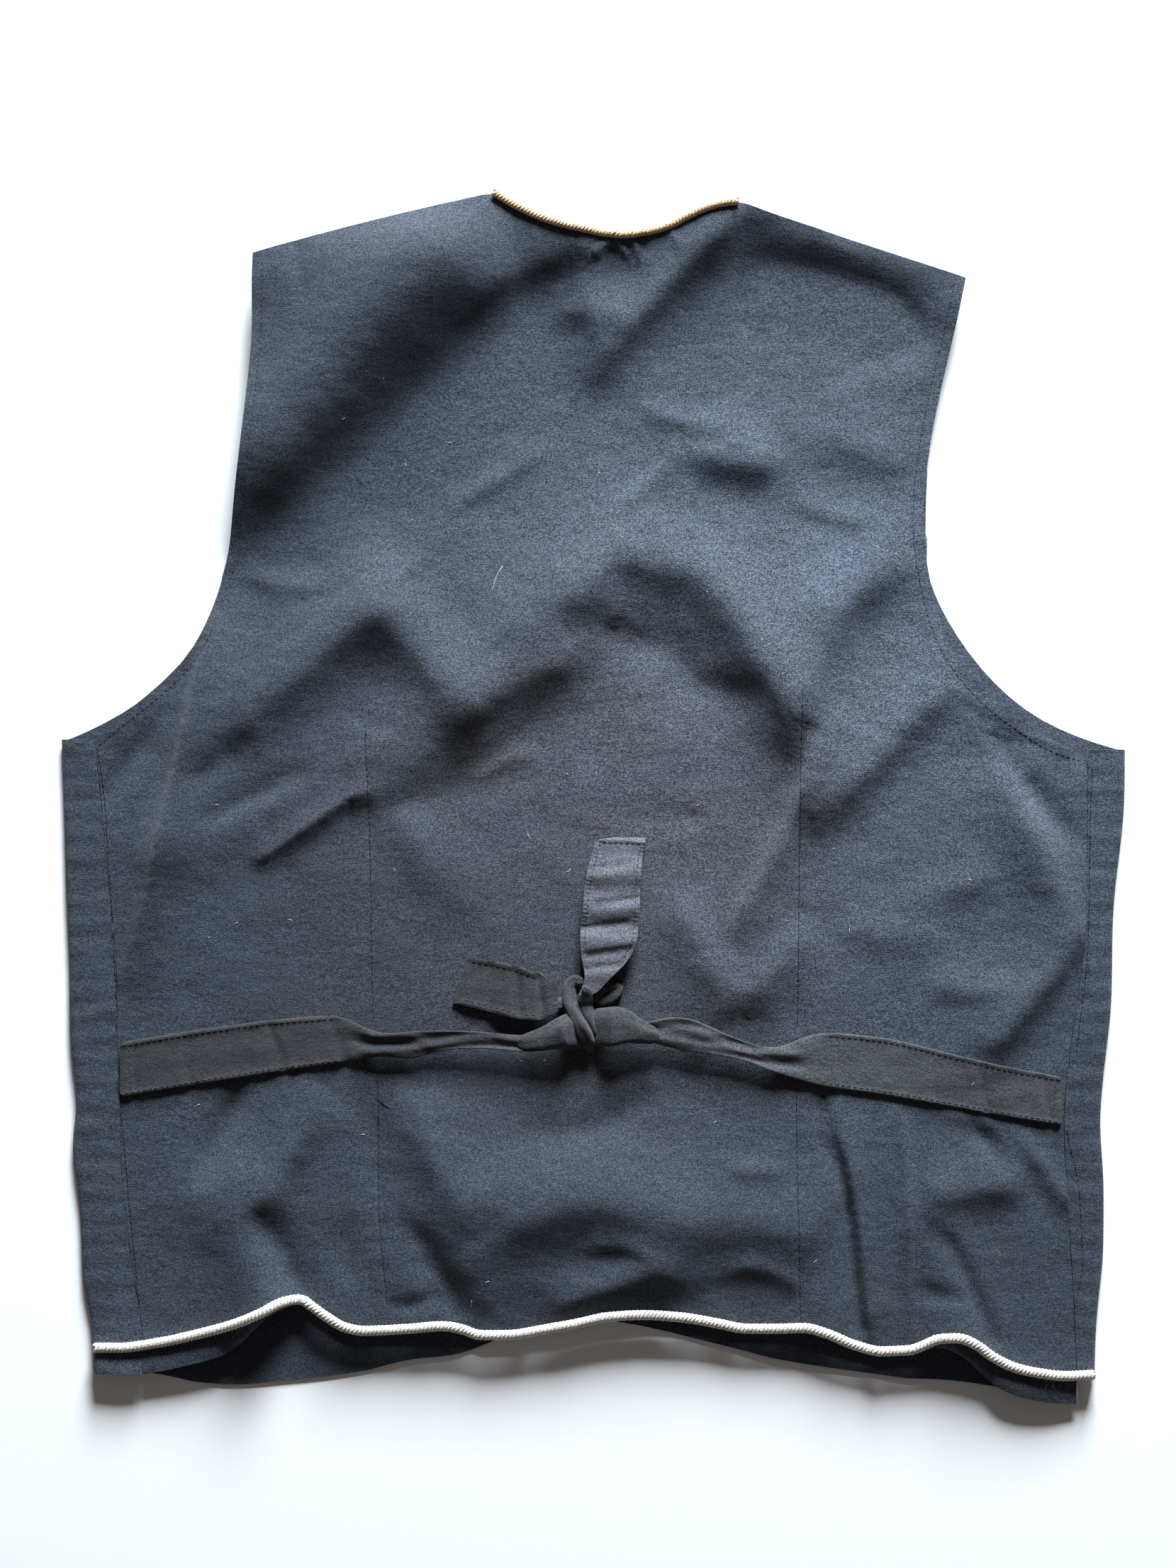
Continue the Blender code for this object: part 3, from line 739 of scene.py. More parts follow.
@dataclass
class KnotRolls:
    """The knot, or its loop, as strips of cloth rolled round each other."""

    node: str
    rolls: Sequence[Roll]
    around: int = 28
    step: float = 0.8
    smoothed: int = 6
    taper: int = 5
    bluntness: float = 0.6
    unevenness: float = 0.18

    def tube(self, roll: Roll, cloth: Surface) -> bpy.types.Object:
        """Bend a grid round the roll's line and close it.

        Args:
            roll: one rolled strip.
            cloth: what it lies on.

        Returns:
            The closed tube.
        """
        line = walked(roll.line, self.step)
        steps = len(line) - 1
        bpy.ops.mesh.primitive_grid_add(x_subdivisions=steps, y_subdivisions=self.around, size=1.0)
        thing = bpy.context.active_object
        flat = np.array([vertex.co[:] for vertex in thing.data.vertices])
        along = np.clip(np.rint((flat[:, 0] + 0.5) * steps), 0, steps).astype(int)
        turn = (flat[:, 1] + 0.5) * 2 * math.pi
        base = np.array([cloth.top(x, y + SHIFT_Y) for x, y in line[:, :2]])
        window = 2 * self.smoothed + 1
        base = np.convolve(np.pad(base, self.smoothed, mode="edge"), np.ones(window) / window, mode="valid")
        run = np.gradient(line[:, :2], axis=0)
        run /= np.linalg.norm(run, axis=1, keepdims=True)
        inward = np.clip(np.minimum(along, steps - along) / self.taper, 0, 1)
        reach = line[along, 2] * np.sin(inward * math.pi / 2) ** self.bluntness
        grooves = np.sin(3 * turn + along * 0.11) + 0.6 * np.sin(5 * turn + 2)
        wrinkle = 1 + roll.grooves * grooves
        side = reach * np.cos(turn) * wrinkle
        up = reach * roll.flat * np.sin(turn) * wrinkle
        place = np.stack([line[along, 0] - run[along, 1] * side,
                          line[along, 1] + SHIFT_Y + run[along, 0] * side,
                          base[along] + line[along, 3] + line[along, 2] * roll.flat * 0.6 + up], 1)
        place += self.unevenness * np.stack([mottle(place, 3.0, seed) for seed in (1.0, 4.0, 9.0)], 1)
        set_corners(thing.data, place)
        weld(thing, 0.02)
        return thing

    def build(self, cloth: Surface, finish: bpy.types.Material) -> bpy.types.Object:
        """Roll every strip and join them."""
        made = [self.tube(roll, cloth) for roll in self.rolls]
        only(*made)
        if len(made) > 1:
            bpy.ops.object.join()
        piece = bpy.context.active_object
        piece.name = f"{self.node}_cloth"
        only(piece)
        bpy.ops.object.transform_apply(location=True, rotation=True, scale=True)
        piece.data.shade_smooth()
        return dressed(piece, finish, self.node)


@dataclass
class Lint:
    """Stray pale fibres on the cloth."""

    count: int = 26
    thick: float = 0.09
    seed: int = 7
    points: int = 5

    def build(self, cloth: Surface, finish: bpy.types.Material) -> bpy.types.Object:
        """Scatter and join the fibres."""
        chance = np.random.default_rng(self.seed)
        rows = list(LINT)
        for _ in range(self.count):
            rows.append((chance.uniform(-200, 200), chance.uniform(-240, 220), chance.uniform(0.5, 1.2),
                         chance.uniform(0, math.pi)))
        lines = []
        for x, y, reach, turn in rows:
            bend = chance.uniform(-0.5, 0.5)
            line = []
            for number in range(self.points):
                walk = (number / 2 - 1) * reach
                across = x + walk * math.cos(turn + bend * number / 2)
                forth = y + SHIFT_Y + walk * math.sin(turn + bend * number / 2)
                line.append((across, forth, cloth.top(across, forth) + LINT_AIR))
            lines.append(line)
        piece = threads("lint", lines, self.thick)
        weld(piece)
        return dressed(piece, finish)


@dataclass
class StitchRun:
    """A row of machine stitches along lines on the cloth."""

    name: str
    slot: str
    length: float = 2.3
    pitch: float = 3.0
    thick: float = 0.42
    lowest: float = 0.8

    def template(self) -> tuple[np.ndarray, list[tuple[int, ...]]]:
        """Model one stitch and read it back."""
        bpy.ops.mesh.primitive_uv_sphere_add(segments=6, ring_count=4, radius=0.5)
        seed = bpy.context.active_object
        only(seed)
        bpy.ops.object.mode_set(mode="EDIT")
        bpy.ops.mesh.select_all(action="SELECT")
        bpy.ops.transform.resize(value=(self.length, self.thick, self.thick))
        bpy.ops.object.mode_set(mode="OBJECT")
        points = np.array([vertex.co[:] for vertex in seed.data.vertices])
        faces = [tuple(face.vertices) for face in seed.data.polygons]
        mesh = seed.data
        bpy.data.objects.remove(seed)
        bpy.data.meshes.remove(mesh)
        return points, faces

    def build(self, lines: Sequence[Line], cloth: Surface,
              finish: bpy.types.Material) -> bpy.types.Object:
        """Lay stitches along the lines.

        Args:
            lines: each a table of x, y points in millimetres.
            cloth: what the stitches lie on.
            finish: the thread.

        Returns:
            The joined stitches.
        """
        seed, seed_faces = self.template()
        points, faces = [], []
        for line in lines:
            spots = walked(line, self.pitch)
            for start, end in zip(spots[:-1], spots[1:]):
                run = (end - start) / np.linalg.norm(end - start)
                middle = (start + end) / 2 + (0, SHIFT_Y)
                ends = [cloth.top(*(middle + run * reach)) for reach in (-1.0, 1.0)]
                if min(ends) < self.lowest:
                    continue
                slope = (ends[1] - ends[0]) / 2
                height = cloth.top(*middle) + STITCH_AIR
                place = np.stack([middle[0] + seed[:, 0] * run[0] - seed[:, 1] * run[1],
                                  middle[1] + seed[:, 0] * run[1] + seed[:, 1] * run[0],
                                  height + seed[:, 2] + seed[:, 0] * slope], 1)
                faces += [tuple(index + len(points) * len(seed) for index in face) for face in seed_faces]
                points.append(place)
        mesh = bpy.data.meshes.new(self.name)
        mesh.from_pydata((np.concatenate(points) * MM).tolist(), [], faces)
        mesh.shade_smooth()
        return dressed(linked(self.name, mesh), finish)


@dataclass
class TwistedCord:
    """A sewn-on cord of twisted strands."""

    node: str
    slot: str
    width: float
    line: Line
    pitch: float = 5.8
    sink: float = 0.8
    strands: int = 3
    strand_share: float = 0.215
    steps: int = 12
    sides: int = 1
    probe: float = 0.4
    flatness: float = 0.8
    read_step: float = 3.0
    blocks: int = 40

    def spine(self) -> np.ndarray:
        """Middle line of the cord, read under its solid's top."""
        tree = tree_of(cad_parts[self.node])
        spots = walked(self.line, self.read_step)
        heights = []
        for x, y in spots:
            tops = [height for off in (0.0, self.probe, -self.probe)
                    for height in heights_at([tree], x, y + SHIFT_Y + off)]
            heights.append(max(tops) - self.width / 2 if tops else math.nan)
        heights = np.array(heights)
        good = ~np.isnan(heights)
        heights = np.interp(np.arange(len(heights)), np.arange(len(heights))[good], heights[good])
        spine = np.concatenate([spots + (0, SHIFT_Y), heights[:, None]], 1)
        spine[:, 2] += fold_rise(spine, BACK_FOLDS) + fold_rise(spine, SHOULDER_LIFT) - self.sink
        return spine

    def build(self, finish: bpy.types.Material) -> bpy.types.Object:
        """Twist the strands and join them."""
        spine = self.spine()
        length = np.concatenate([[0], np.cumsum(np.linalg.norm(np.diff(spine, axis=0), axis=1))])
        count = int(length[-1] / self.pitch * self.steps)
        walk = np.linspace(0, length[-1], count)
        middle = np.stack([np.interp(walk, length, spine[:, axis]) for axis in range(3)], 1)
        run = np.gradient(middle, axis=0)
        run /= np.linalg.norm(run, axis=1, keepdims=True)
        side = np.cross(run, (0, 0, 1.0))
        side /= np.linalg.norm(side, axis=1, keepdims=True)
        up = np.cross(side, run)
        strand = self.width * self.strand_share
        offset = self.width / 2 - strand
        paths = []
        for number in range(self.strands):
            turn = walk / self.pitch * 2 * math.pi + number * 2 * math.pi / self.strands
            paths.append(middle + offset * (np.cos(turn)[:, None] * side
                                            + self.flatness * np.sin(turn)[:, None] * up))
        piece = threads(f"{self.node}_twisted", paths, strand, self.sides)
        weld(piece)
        piece.data.shade_smooth()
        points = corners(piece.data)
        # The hollow attribute runs from 0 on the strands' crowns to 1 at the cord's axis; the yarn paints
        # shade in the grooves by it.
        hollow = piece.data.attributes.new("hollow", "FLOAT", "POINT")
        depth = np.concatenate([np.sqrt(((part[:, None] - middle[None]) ** 2).sum(2).min(1))
                                for part in np.array_split(points, self.blocks)])
        hollow.data.foreach_set("value", (1 - depth / (self.width / 2)).astype(np.float32))
        return dressed(piece, finish, self.node)


# ---------------------------------------------------------------- studio


class Lamp(NamedTuple):
    """A square soft light aimed at the vest, in metres and watts."""

    name: str
    place: Triple
    size: float
    power: float
    colour: Triple


@dataclass(frozen=True)
class Studio:
    """Pale floor, a low cool window light from the neck's side, a warm fill, and the camera.

    Camera sizes are in millimetres: the middle and the height of what the photo shows, how far
    off the camera stands, how high the cloth's middle is, and the sensor's width.
    """

    centre: tuple[float, float] = (-2.6, 6.6)
    photo_height: float = 774.2
    stand_off: float = 1700.0
    cloth_height: float = 8.0
    sensor: float = 36.0
    sky: float = 0.07
    sky_colour: Triple = (1.0, 0.93, 0.9)
    floor_size: float = 6.0
    floor_height: float = -0.0004
    lamps: tuple[Lamp, ...] = (
        Lamp("window", (0.42, 3.0, 1.1), 1.1, 450.0, (0.86, 0.93, 1.0)),
        Lamp("room", (-0.6, -1.8, 2.2), 1.6, 3.0, (1.0, 0.84, 0.74)),
    )

    def floor(self) -> None:
        """Lay a wide pale floor just under the fronts."""
        bpy.ops.mesh.primitive_grid_add(x_subdivisions=4, y_subdivisions=4, size=self.floor_size,
                                        location=(0, 0, self.floor_height))
        plane = bpy.context.active_object
        only(plane)
        bpy.ops.object.transform_apply(location=True, rotation=True, scale=True)
        plane.name = "floor"
        plane.data.materials.append(PlainPaint("pale_floor", (0.93, 0.93, 0.93)).build())

    def hang(self, lamp: Lamp) -> None:
        """Hang one lamp."""
        light = bpy.data.lights.new(lamp.name, "AREA")
        light.size = lamp.size
        light.energy = lamp.power
        light.color = lamp.colour
        thing = linked(lamp.name, light)
        thing.location = lamp.place
        thing.rotation_euler = (-Vector(lamp.place)).to_track_quat("-Z", "Y").to_euler()

    def build(self) -> None:
        """Set the floor, lights, sky and camera."""
        self.floor()
        for lamp in self.lamps:
            self.hang(lamp)
        world = bpy.data.worlds.new("soft_sky")
        world.use_nodes = True
        background = world.node_tree.nodes["Background"]
        background.inputs["Color"].default_value = (*self.sky_colour, 1.0)
        background.inputs["Strength"].default_value = self.sky
        bpy.context.scene.world = world
        bpy.context.scene.view_settings.view_transform = "Standard"
        camera = bpy.data.cameras.new("photo_view")
        camera.sensor_width = self.sensor
        camera.lens = self.sensor / 2 / (self.photo_height / 2 / (self.stand_off - self.cloth_height))
        thing = linked("photo_view", camera)
        thing.location = (self.centre[0] * MM, self.centre[1] * MM, self.stand_off * MM)
        bpy.context.scene.camera = thing


# ---------------------------------------------------------------- tables

# All tables are in millimetres of the photo's plane; x runs right, y towards the neck.
BACK_FOLDS = [Fold(*row) for row in [
    ("neck slope", ((-46, 298, 2), (-20, 287, 4), (0, 281, 5), (18, 279, 5), (36, 284, 4.5), (70, 297, 4),
     (104, 284, 2)), 10, 20, 3),
    ("hem strip left", ((-250, -283, 2.5), (-215, -281, 2.4), (-190, -276, 2), (-165, -264, 1)), 9, 9, 3),
    ("hem strip right", ((186, -281, 1), (206, -291, 2), (224, -293, 1.6)), 9, 9, 3),
    ("shoulder roll crest", ((-58, 292, 1.3), (-90, 252, 3.2), (-112, 228, 3.9), (-135, 198, 3.9),
     (-155, 170, 3.2), (-174, 146, 2.6)), 14, 30, 6),
    ("shoulder roll valley", ((4, 268, -1.7), (-30, 250, -5.2), (-62, 225, -7.4), (-90, 197, -8),
     (-120, 168, -8), (-150, 140, -6.6), (-172, 120, -3.6)), 45, 16, 5),
    ("neck pull right", ((76, 293, 3.6), (54, 272, 5.6), (34, 251, 5.2), (16, 230, 4.3), (2, 212, 1.2)), 8,
     11, 2),
    ("neck pull bottom", ((-22, 246, 0), (-8, 242, 2.9), (10, 239, 2.9), (22, 240, 0)), 16, 7, 2),
    ("neck pull left", ((-4, 272, 1.4), (-3, 255, 2.2), (0, 238, 2.4), (4, 216, 0.9)), 9, 6, 2),
    ("neck roll", ((-70, 236, 0), (-48, 254, 2.4), (-24, 266, 3), (-6, 273, 2), (4, 276, 0)), 14, 8, 2),
    ("neck pucker one", ((11, 277, 1), (14.5, 271.5, 2), (18.5, 265, 0.6), (22, 260, 0)), 1.8, 2.2, 0.5),
    ("neck pucker side", ((-4, 265, 0), (3, 270.5, 2), (10, 276, 1.4)), 2.4, 2, 0.5),
    ("neck pucker two", ((18.5, 277, 1), (21.5, 271, 1.9), (24.5, 264, 0.5)), 1.8, 2, 0.5),
    ("neck pucker three", ((38, 281, 0.6), (41, 275, 1.4), (42, 269, 0)), 1.8, 2.2, 0.5),
    ("right shoulder valley", ((70, 268, 0), (88, 262, -4.6), (115, 256, -5.4), (142, 246, -5.4),
     (160, 228, -3.6), (166, 212, 0)), 11, 30, 4),
    ("right shoulder line", ((131, 256, -0.4), (132, 235, -0.9), (134, 208, 0)), 3, 3, 1),
    ("left shoulder line", ((-145, 272, -0.8), (-144, 255, -0.8), (-143, 240, 0)), 3, 3, 1),
    ("blade dimple", ((44, 174, 0), (60, 168, 4), (78, 165, 4.3), (96, 173, 0)), 16, 8, 3),
    ("blade patch", ((105, 184, 0), (122, 178, 2.5), (140, 170, 2.5), (158, 160, 0)), 14, 10, 4),
    ("arch crest", ((-30, 88, 1.8), (-8, 104, 4.7), (14, 121, 5.4), (30, 116, 4), (48, 113, 4.7),
     (66, 96, 5.4), (82, 70, 5.4), (94, 44, 4.3), (104, 8, 1)), 26, 13, 2.5),
    ("arch hollow", ((-18, 80, 0), (2, 85, -2.2), (20, 78, -2.9), (38, 75, -2.2), (48, 60, -2.5),
     (62, 54, -2.5), (82, 50, -2.2), (92, 20, -1.4), (97, 0, 0)), 7, 14, 2),
    ("sweep crest", ((-8, 74, 1.8), (-20, 66, 3.2), (-38, 58, 2.9), (-62, 41, 2.2), (-86, 20, 2.6),
     (-106, 4, 1.8), (-118, -6, 0)), 9, 26, 1.5),
    ("sweep hollow", ((-12, 60, 0), (-28, 40, -1.4), (-44, 22, -1.9), (-72, 4, -1.4), (-95, -10, 0)), 16, 7,
     2),
    ("sweep tail", ((-96, -4, 0), (-90, -22, 2.9), (-80, -38, 2.9), (-58, -44, 1.4), (-40, -42, 0)), 20, 8,
     2),
    ("tent outer", ((-106, 96, 2.9), (-125, 80, 4.7), (-145, 63, 4.3), (-166, 45, 3.2), (-184, 25, 2.2),
     (-200, 4, 0)), 11, 26, 2),
    ("tent inner", ((-110, 95, 2.9), (-98, 84, 4.3), (-80, 66, 3.6), (-62, 48, 2.2), (-50, 38, 0)), 22, 13,
     2),
    ("left side crease one", ((-196, 84, 0), (-203, 58, -3), (-210, 24, -3.2), (-218, -10, -2.2),
     (-222, -30, 0)), 5, 6, 1.5),
    ("left side crease two", ((-212, 48, 0), (-226, 22, -2.6), (-240, 4, -2), (-248, -8, 0)), 6, 5, 1.5),
    ("left side ridge", ((-186, 92, 0), (-195, 60, 4.2), (-203, 25, 5.6), (-212, -12, 5.4),
     (-220, -48, 4.2), (-228, -78, 2.2), (-234, -96, 0)), 20, 3, 1),
    ("left bright crease", ((-104, 6, 0), (-120, 0, 2.5), (-140, -13, 2.9), (-160, -27, 2.2),
     (-170, -33, 0)), 3.5, 5, 1),
    ("left thin crease", ((-136, 14, 0), (-150, 9, -1.8), (-166, 1, -2.2), (-182, -7, -2), (-196, -16, 0)),
     3, 6, 1),
    ("left side hollow", ((-168, 32, 0), (-180, 22, -1.8), (-192, 12, -1.8), (-200, 4, 0)), 5, 5, 1.5),
    ("armhole fold one", ((160, 120, 0), (140, 110, 3.6), (124, 96, 5), (114, 76, 5), (106, 54, 4),
     (98, 34, 2.2), (92, 20, 0)), 10, 20, 2),
    ("armhole fold two", ((182, 60, 0), (168, 48, 2.9), (150, 30, 3.6), (130, 8, 3.2), (114, -8, 1.8),
     (104, -18, 0)), 7, 16, 1.5),
    ("armhole fold three", ((126, 48, 0), (112, 26, 2.9), (102, 2, 4.2), (90, -24, 4.4), (77, -50, 3.6),
     (66, -74, 0)), 11, 3.5, 1),
    ("right side ridge", ((200, 24, 0), (206, 4, 2.9), (214, -14, 3.6), (226, -40, 3.6), (238, -62, 2.5),
     (245, -76, 0)), 9, 20, 1.5),
    ("right side nick one", ((199, 36, 0), (207, 18, -2.8), (219, 0, -3.4), (232, -16, -2.8),
     (243, -28, 0)), 6, 6, 1),
    ("right side nick two", ((234, 24, 0), (246, 20, -1.8), (262, 13, 0)), 4, 4, 1),
    ("right belt tuck", ((246, -60, 0), (236, -76, 3.2), (218, -98, 4), (204, -116, 3.6), (192, -130, 0)),
     5, 14, 1.5),
    ("waist V left", ((32, -46, 0), (46, -60, 3.6), (57, -82, 4.3), (67, -102, 2.9), (72, -112, 0)), 10, 14,
     1.5),
    ("waist V right", ((108, -60, 0), (98, -74, 3.1), (84, -92, 3.6), (72, -106, 0)), 12, 10, 1.5),
    ("small tuck one", ((-62, 6, 0), (-50, 14, 1.7), (-38, 20, 1.8), (-24, 22, 0)), 5, 3, 0.8),
    ("small tuck two", ((-30, -18, 0), (-18, -30, 1.6), (-8, -46, 1.6), (-2, -60, 0)), 3, 5, 0.8),
    ("small tuck three", ((-66, -52, 0), (-56, -62, 1.8), (-50, -74, 1.4), (-48, -84, 0)), 5, 3, 0.8),
    ("blade line one", ((22, 196, 0), (36, 188, 1.6), (54, 184, 1.7), (72, 186, 0)), 5, 3, 0.8),
    ("blade line two", ((96, 150, 0), (110, 142, 1.6), (126, 138, 1.6), (144, 140, 0)), 5, 3, 0.8),
    ("centre line one", ((-76, 140, 0), (-58, 150, 1.4), (-38, 162, 1.5), (-16, 178, 0)), 6, 3, 0.8),
    ("centre line two", ((4, 140, 0), (20, 150, 1.5), (34, 162, 1.5), (44, 176, 0)), 3, 5, 0.8),
    ("armhole line", ((-176, 112, 0), (-160, 106, 1.6), (-142, 104, 1.6), (-124, 108, 0)), 5, 3, 0.8),
    ("right flank one", ((148, -58, 0), (164, -53, 1.6), (184, -44, 1.9), (202, -36, 0)), 8, 5, 1.5),
    ("right flank two", ((118, -64, 0), (136, -67, 2), (156, -69, 2), (174, -64, 0)), 10, 8, 1.5),
    ("right flank three", ((164, -90, 0), (178, -95, 1.9), (194, -95, 1.9), (206, -88, 0)), 8, 6, 1.5),
    ("low nick", ((-103, -250.5, 0), (-92, -249.5, -2), (-80, -247, -1.6), (-73, -244, 0)), 2.2, 4, 0.6),
    ("low tuck three", ((60, -178, 0), (74, -184, 1.6), (88, -184, 1.4), (98, -180, 0)), 5, 3, 0.8),
    ("low tuck four", ((-10, -226, 0), (6, -220, 1.8), (20, -222, 1.8), (34, -232, 0)), 5, 3, 0.8),
    ("low tuck five", ((60, -236, 0), (76, -232, 1.8), (92, -236, 1.8), (104, -246, 0)), 5, 3, 0.8),
    ("middle thin line", ((4, -8, 0), (25, -9, -1.5), (46, -8.6, -1.5), (58, -9, 0)), 2, 3.2, 0.6),
    ("middle upright", ((-12, 24, 0), (-6, 0, 1.8), (-4, -34, 0)), 5, 4, 1),
    ("under belt left one", ((-172, -138, 0), (-180, -154, -3), (-190, -176, -3), (-196, -196, 0)), 6, 5,
     1),
    ("under belt left two", ((-128, -138, 0), (-136, -154, 3.2), (-146, -174, 3.6), (-156, -192, 2.4),
     (-162, -206, 0)), 6, 10, 1),
    ("under belt dart", ((-107, -145, 0), (-108, -165, -1.8), (-108, -200, 0)), 6, 6, 2),
    ("under belt triangle", ((-88, -140, 0), (-86, -160, 4.4), (-78, -180, 5.8), (-66, -200, 5),
     (-54, -214, 0)), 20, 12, 1.5),
    ("under belt arc", ((-44, -164, 0), (-18, -166, -2), (10, -158, -2), (32, -140, 0)), 7, 8, 2),
    ("hem arch", ((-72, -240, 3), (-54, -220, 6.5), (-32, -207, 8), (0, -200, 7.5), (16, -203, 7.5),
     (32, -216, 6.5), (42, -236, 3), (46, -248, 0)), 26, 24, 3),
    ("hem arch right", ((24, -206, 0), (45, -207, 4.8), (75, -209, 5.3), (105, -214, 3.6), (118, -220, 0)),
     22, 17, 4),
    ("hem lip", ((-24, -256, 0), (-8, -247, 3.2), (12, -240, 4), (32, -234, 3.2), (44, -240, 0)), 10, 6,
     1.5),
    ("pleat step", ((119, -158, 1), (125, -178, 2.9), (130.5, -212, 3.6), (135, -252, 3.6),
     (137, -266, 1.8)), 12, 2, 0.6),
    ("pleat line", ((118.5, -164, 0), (123, -182, -1.8), (128.5, -214, -2.2), (133, -262, -2)), 2, 4, 0.7),
    ("dart tuck right", ((113.5, -146, -1.6), (115, -160, -2.4), (117, -180, -1), (118, -190, 0)), 2, 3.4,
     0.7),
    ("pocket edge", ((144, -149.5, 0), (151, -154, 0.9), (153.5, -166, 1), (155, -205, 1),
     (156.5, -262, 0.8)), 1.6, 5, 0.5),
    ("imprint top", ((158, -151, 0), (186, -158, 1.1), (214, -168, 0)), 3.5, 3.5, 1),
    ("imprint side", ((155, -156, 0), (156, -200, 1), (156, -262, 0)), 3, 3, 1),
    ("imprint ledge", ((160, -196, 0), (176, -194, 3.6), (200, -192, 4), (216, -196, 0)), 14, 9, 2),
    ("imprint round", ((206, -158, 0), (222, -182, 2.5), (238, -204, 2.5), (250, -220, 0)), 4, 4, 1),
    ("imprint line", ((162, -206, 0), (176, -220, -2.2), (186, -240, -3.2), (196, -266, -2.5),
     (200, -274, 0)), 4, 6, 1),
    ("imprint low line", ((155, -241, 0), (172, -246, -2.2), (188, -251, 0)), 4, 4, 1),
    ("imprint dent", ((186, -156, 0), (196, -170, -2.5), (207, -187, 0)), 3, 5, 1),
    ("left hem valley", ((-170, -202, -2), (-158, -218, -8.5), (-149, -238, -9.5), (-138, -258, -5)), 11,
     11, 1),
    ("left hem valley two", ((-104, -206, 0), (-84, -220, -4.4), (-71, -243, -6), (-60, -258, -3)), 8, 12,
     1),
    ("left hem upright", ((-120, -205, 0), (-122, -225, -1.8), (-122, -245, 0)), 5, 6, 1.5),
    ("left dart", ((-112.5, 34, -0.6), (-110.5, -18, -0.5), (-109, -100, -0.4)), 1.4, 1.4, 0.4),
    ("left dart low", ((-107, -128, -0.4), (-106, -190, -0.5), (-102, -250, -0.5)), 1.4, 1.4, 0.4),
    ("left dart top", ((-114, 35, 0), (-104, 35, -0.8), (-94, 34, 0)), 2, 2.5, 0.8),
    ("right dart", ((102.5, 53, -0.5), (101.5, -61, -0.5), (101, -112, -0.4)), 1.4, 1.4, 0.4),
    ("right dart low", ((101, -142, -0.4), (100.5, -155, -0.5), (102.5, -255, -0.5)), 1.4, 1.4, 0.4),
]]

SHOULDER_LIFT = [Fold(*row) for row in [
    ("left shoulder edge", ((-176, 270, 4.5), (-150, 268, 9.5), (-120, 275, 10.5), (-90, 282, 9),
     (-50, 298, 2)), 40, 40, 6),
    ("right shoulder edge", ((66, 298, 1.5), (110, 283, 4.8), (150, 268, 5), (180, 257, 4.5),
     (178, 228, 1.5)), 15, 15, 3),
]]

HEM_CORNERS = [Fold(*row) for row in [
    ("left corner", ((-258, -281, 2.8), (-246, -281.5, 3.1), (-234, -282, 2.9), (-223, -282, 2.7)), 10, 10,
     3),
    ("right corner", ((226, -293, 2), (240, -294, 2.4), (254, -293, 2.4)), 10, 10, 3),
]]

# Lines along which the back gets finer faces.
DART_LEFT = [(-112.5, 34), (-110.5, -18), (-109, -95), (-106, -155), (-106, -192), (-102, -248)]
DART_RIGHT = [(102.5, 53), (101.5, -61), (100.5, -154.5), (102.5, -258)]
PLEAT_RIGHT = [(116, -150), (122, -174), (130, -214), (135, -264)]
POCKET_EDGE = [(152, -156), (154, -180), (156, -262)]
SIDE_RIDGE = [(-199, 42), (-212, -12), (-226, -70)]
CREASE_LEFT = [(-108, 10), (-166, -32)]
NECK_TOP = [(-10, 272), (34, 272)]
NECK_LOW = [(-10, 266), (34, 266)]

BELT_FOLDS_LEFT = [Fold(*row) for row in [
    ("top rim", ((-233, -121.8, 0.5), (-197, -115.8, 0.5), (-160, -110.8, 0.5), (-126, -108.2, 0.5)), 1.2,
     1.2, 0.4),
    ("bottom rim", ((-233, -146.8, 0.5), (-197, -140.8, 0.5), (-160, -134.8, 0.5), (-126, -130, 0.5)), 1.2,
     1.2, 0.4),
    ("free groove", ((-124, -119, 0), (-108, -121.5, -0.8), (-88, -121, -0.9), (-68, -119, -0.7),
     (-46, -119.5, -0.7), (-32, -119, 0)), 2.2, 2.8, 0.6),
    ("free crest", ((-120, -112, 0), (-106, -117.5, 0.6), (-88, -117.2, 0.6), (-66, -116, 0.5),
     (-46, -117, 0.5), (-34, -117, 0)), 1.6, 2.2, 0.5),
]]
BELT_FOLDS_RIGHT = [Fold(*row) for row in [
    ("top rim", ((116, -116.2, 0.5), (142, -118.8, 0.5), (179, -127.2, 0.5), (231, -138.4, 0.5)), 1.2, 1.2,
     0.4),
    ("bottom rim", ((116, -142.2, 0.5), (142, -145.7, 0.5), (179, -152.2, 0.5), (230, -161, 0.5)), 1.2, 1.2,
     0.4),
    ("free groove", ((30, -117, 0), (48, -119, -0.9), (66, -121, -0.9), (84, -127, -0.9), (104, -133, 0)),
     2.6, 2.2, 0.6),
    ("free crest", ((34, -112, 0), (50, -114.5, 0.8), (66, -117.5, 0.7), (84, -122, 0.6), (100, -126, 0)),
     1.8, 2.2, 0.5),
]]

END_UP_FOLDS = [Fold(*row) for row in [
    ("left rim", ((3.2, -20.8, 0.5), (1, -29, 0.6), (-2.2, -43, 0.6), (-4, -59, 0.6), (-4.8, -70, 0.5)), 1,
     1, 0.4),
    ("right rim", ((24.8, -22, 0.5), (23, -29, 0.6), (21.8, -43, 0.6), (21.2, -58, 0.6), (20, -70, 0.5)), 1,
     1, 0.4),
    ("top rim", ((3.6, -20.6, 0.6), (14, -20.8, 0.7), (24.6, -21.8, 0.6)), 1, 1, 0.4),
]]
END_LEFT_FOLDS = [Fold(*row) for row in [
    ("top rim", ((-61, -79.2, 0.5), (-47, -81.8, 0.6), (-35, -84.6, 0.6), (-28, -87.6, 0.5)), 1, 1, 0.4),
    ("bottom rim", ((-65, -100.6, 0.5), (-47, -104.8, 0.6), (-36, -107.8, 0.6), (-28, -108.4, 0.5)), 1, 1,
     0.4),
]]

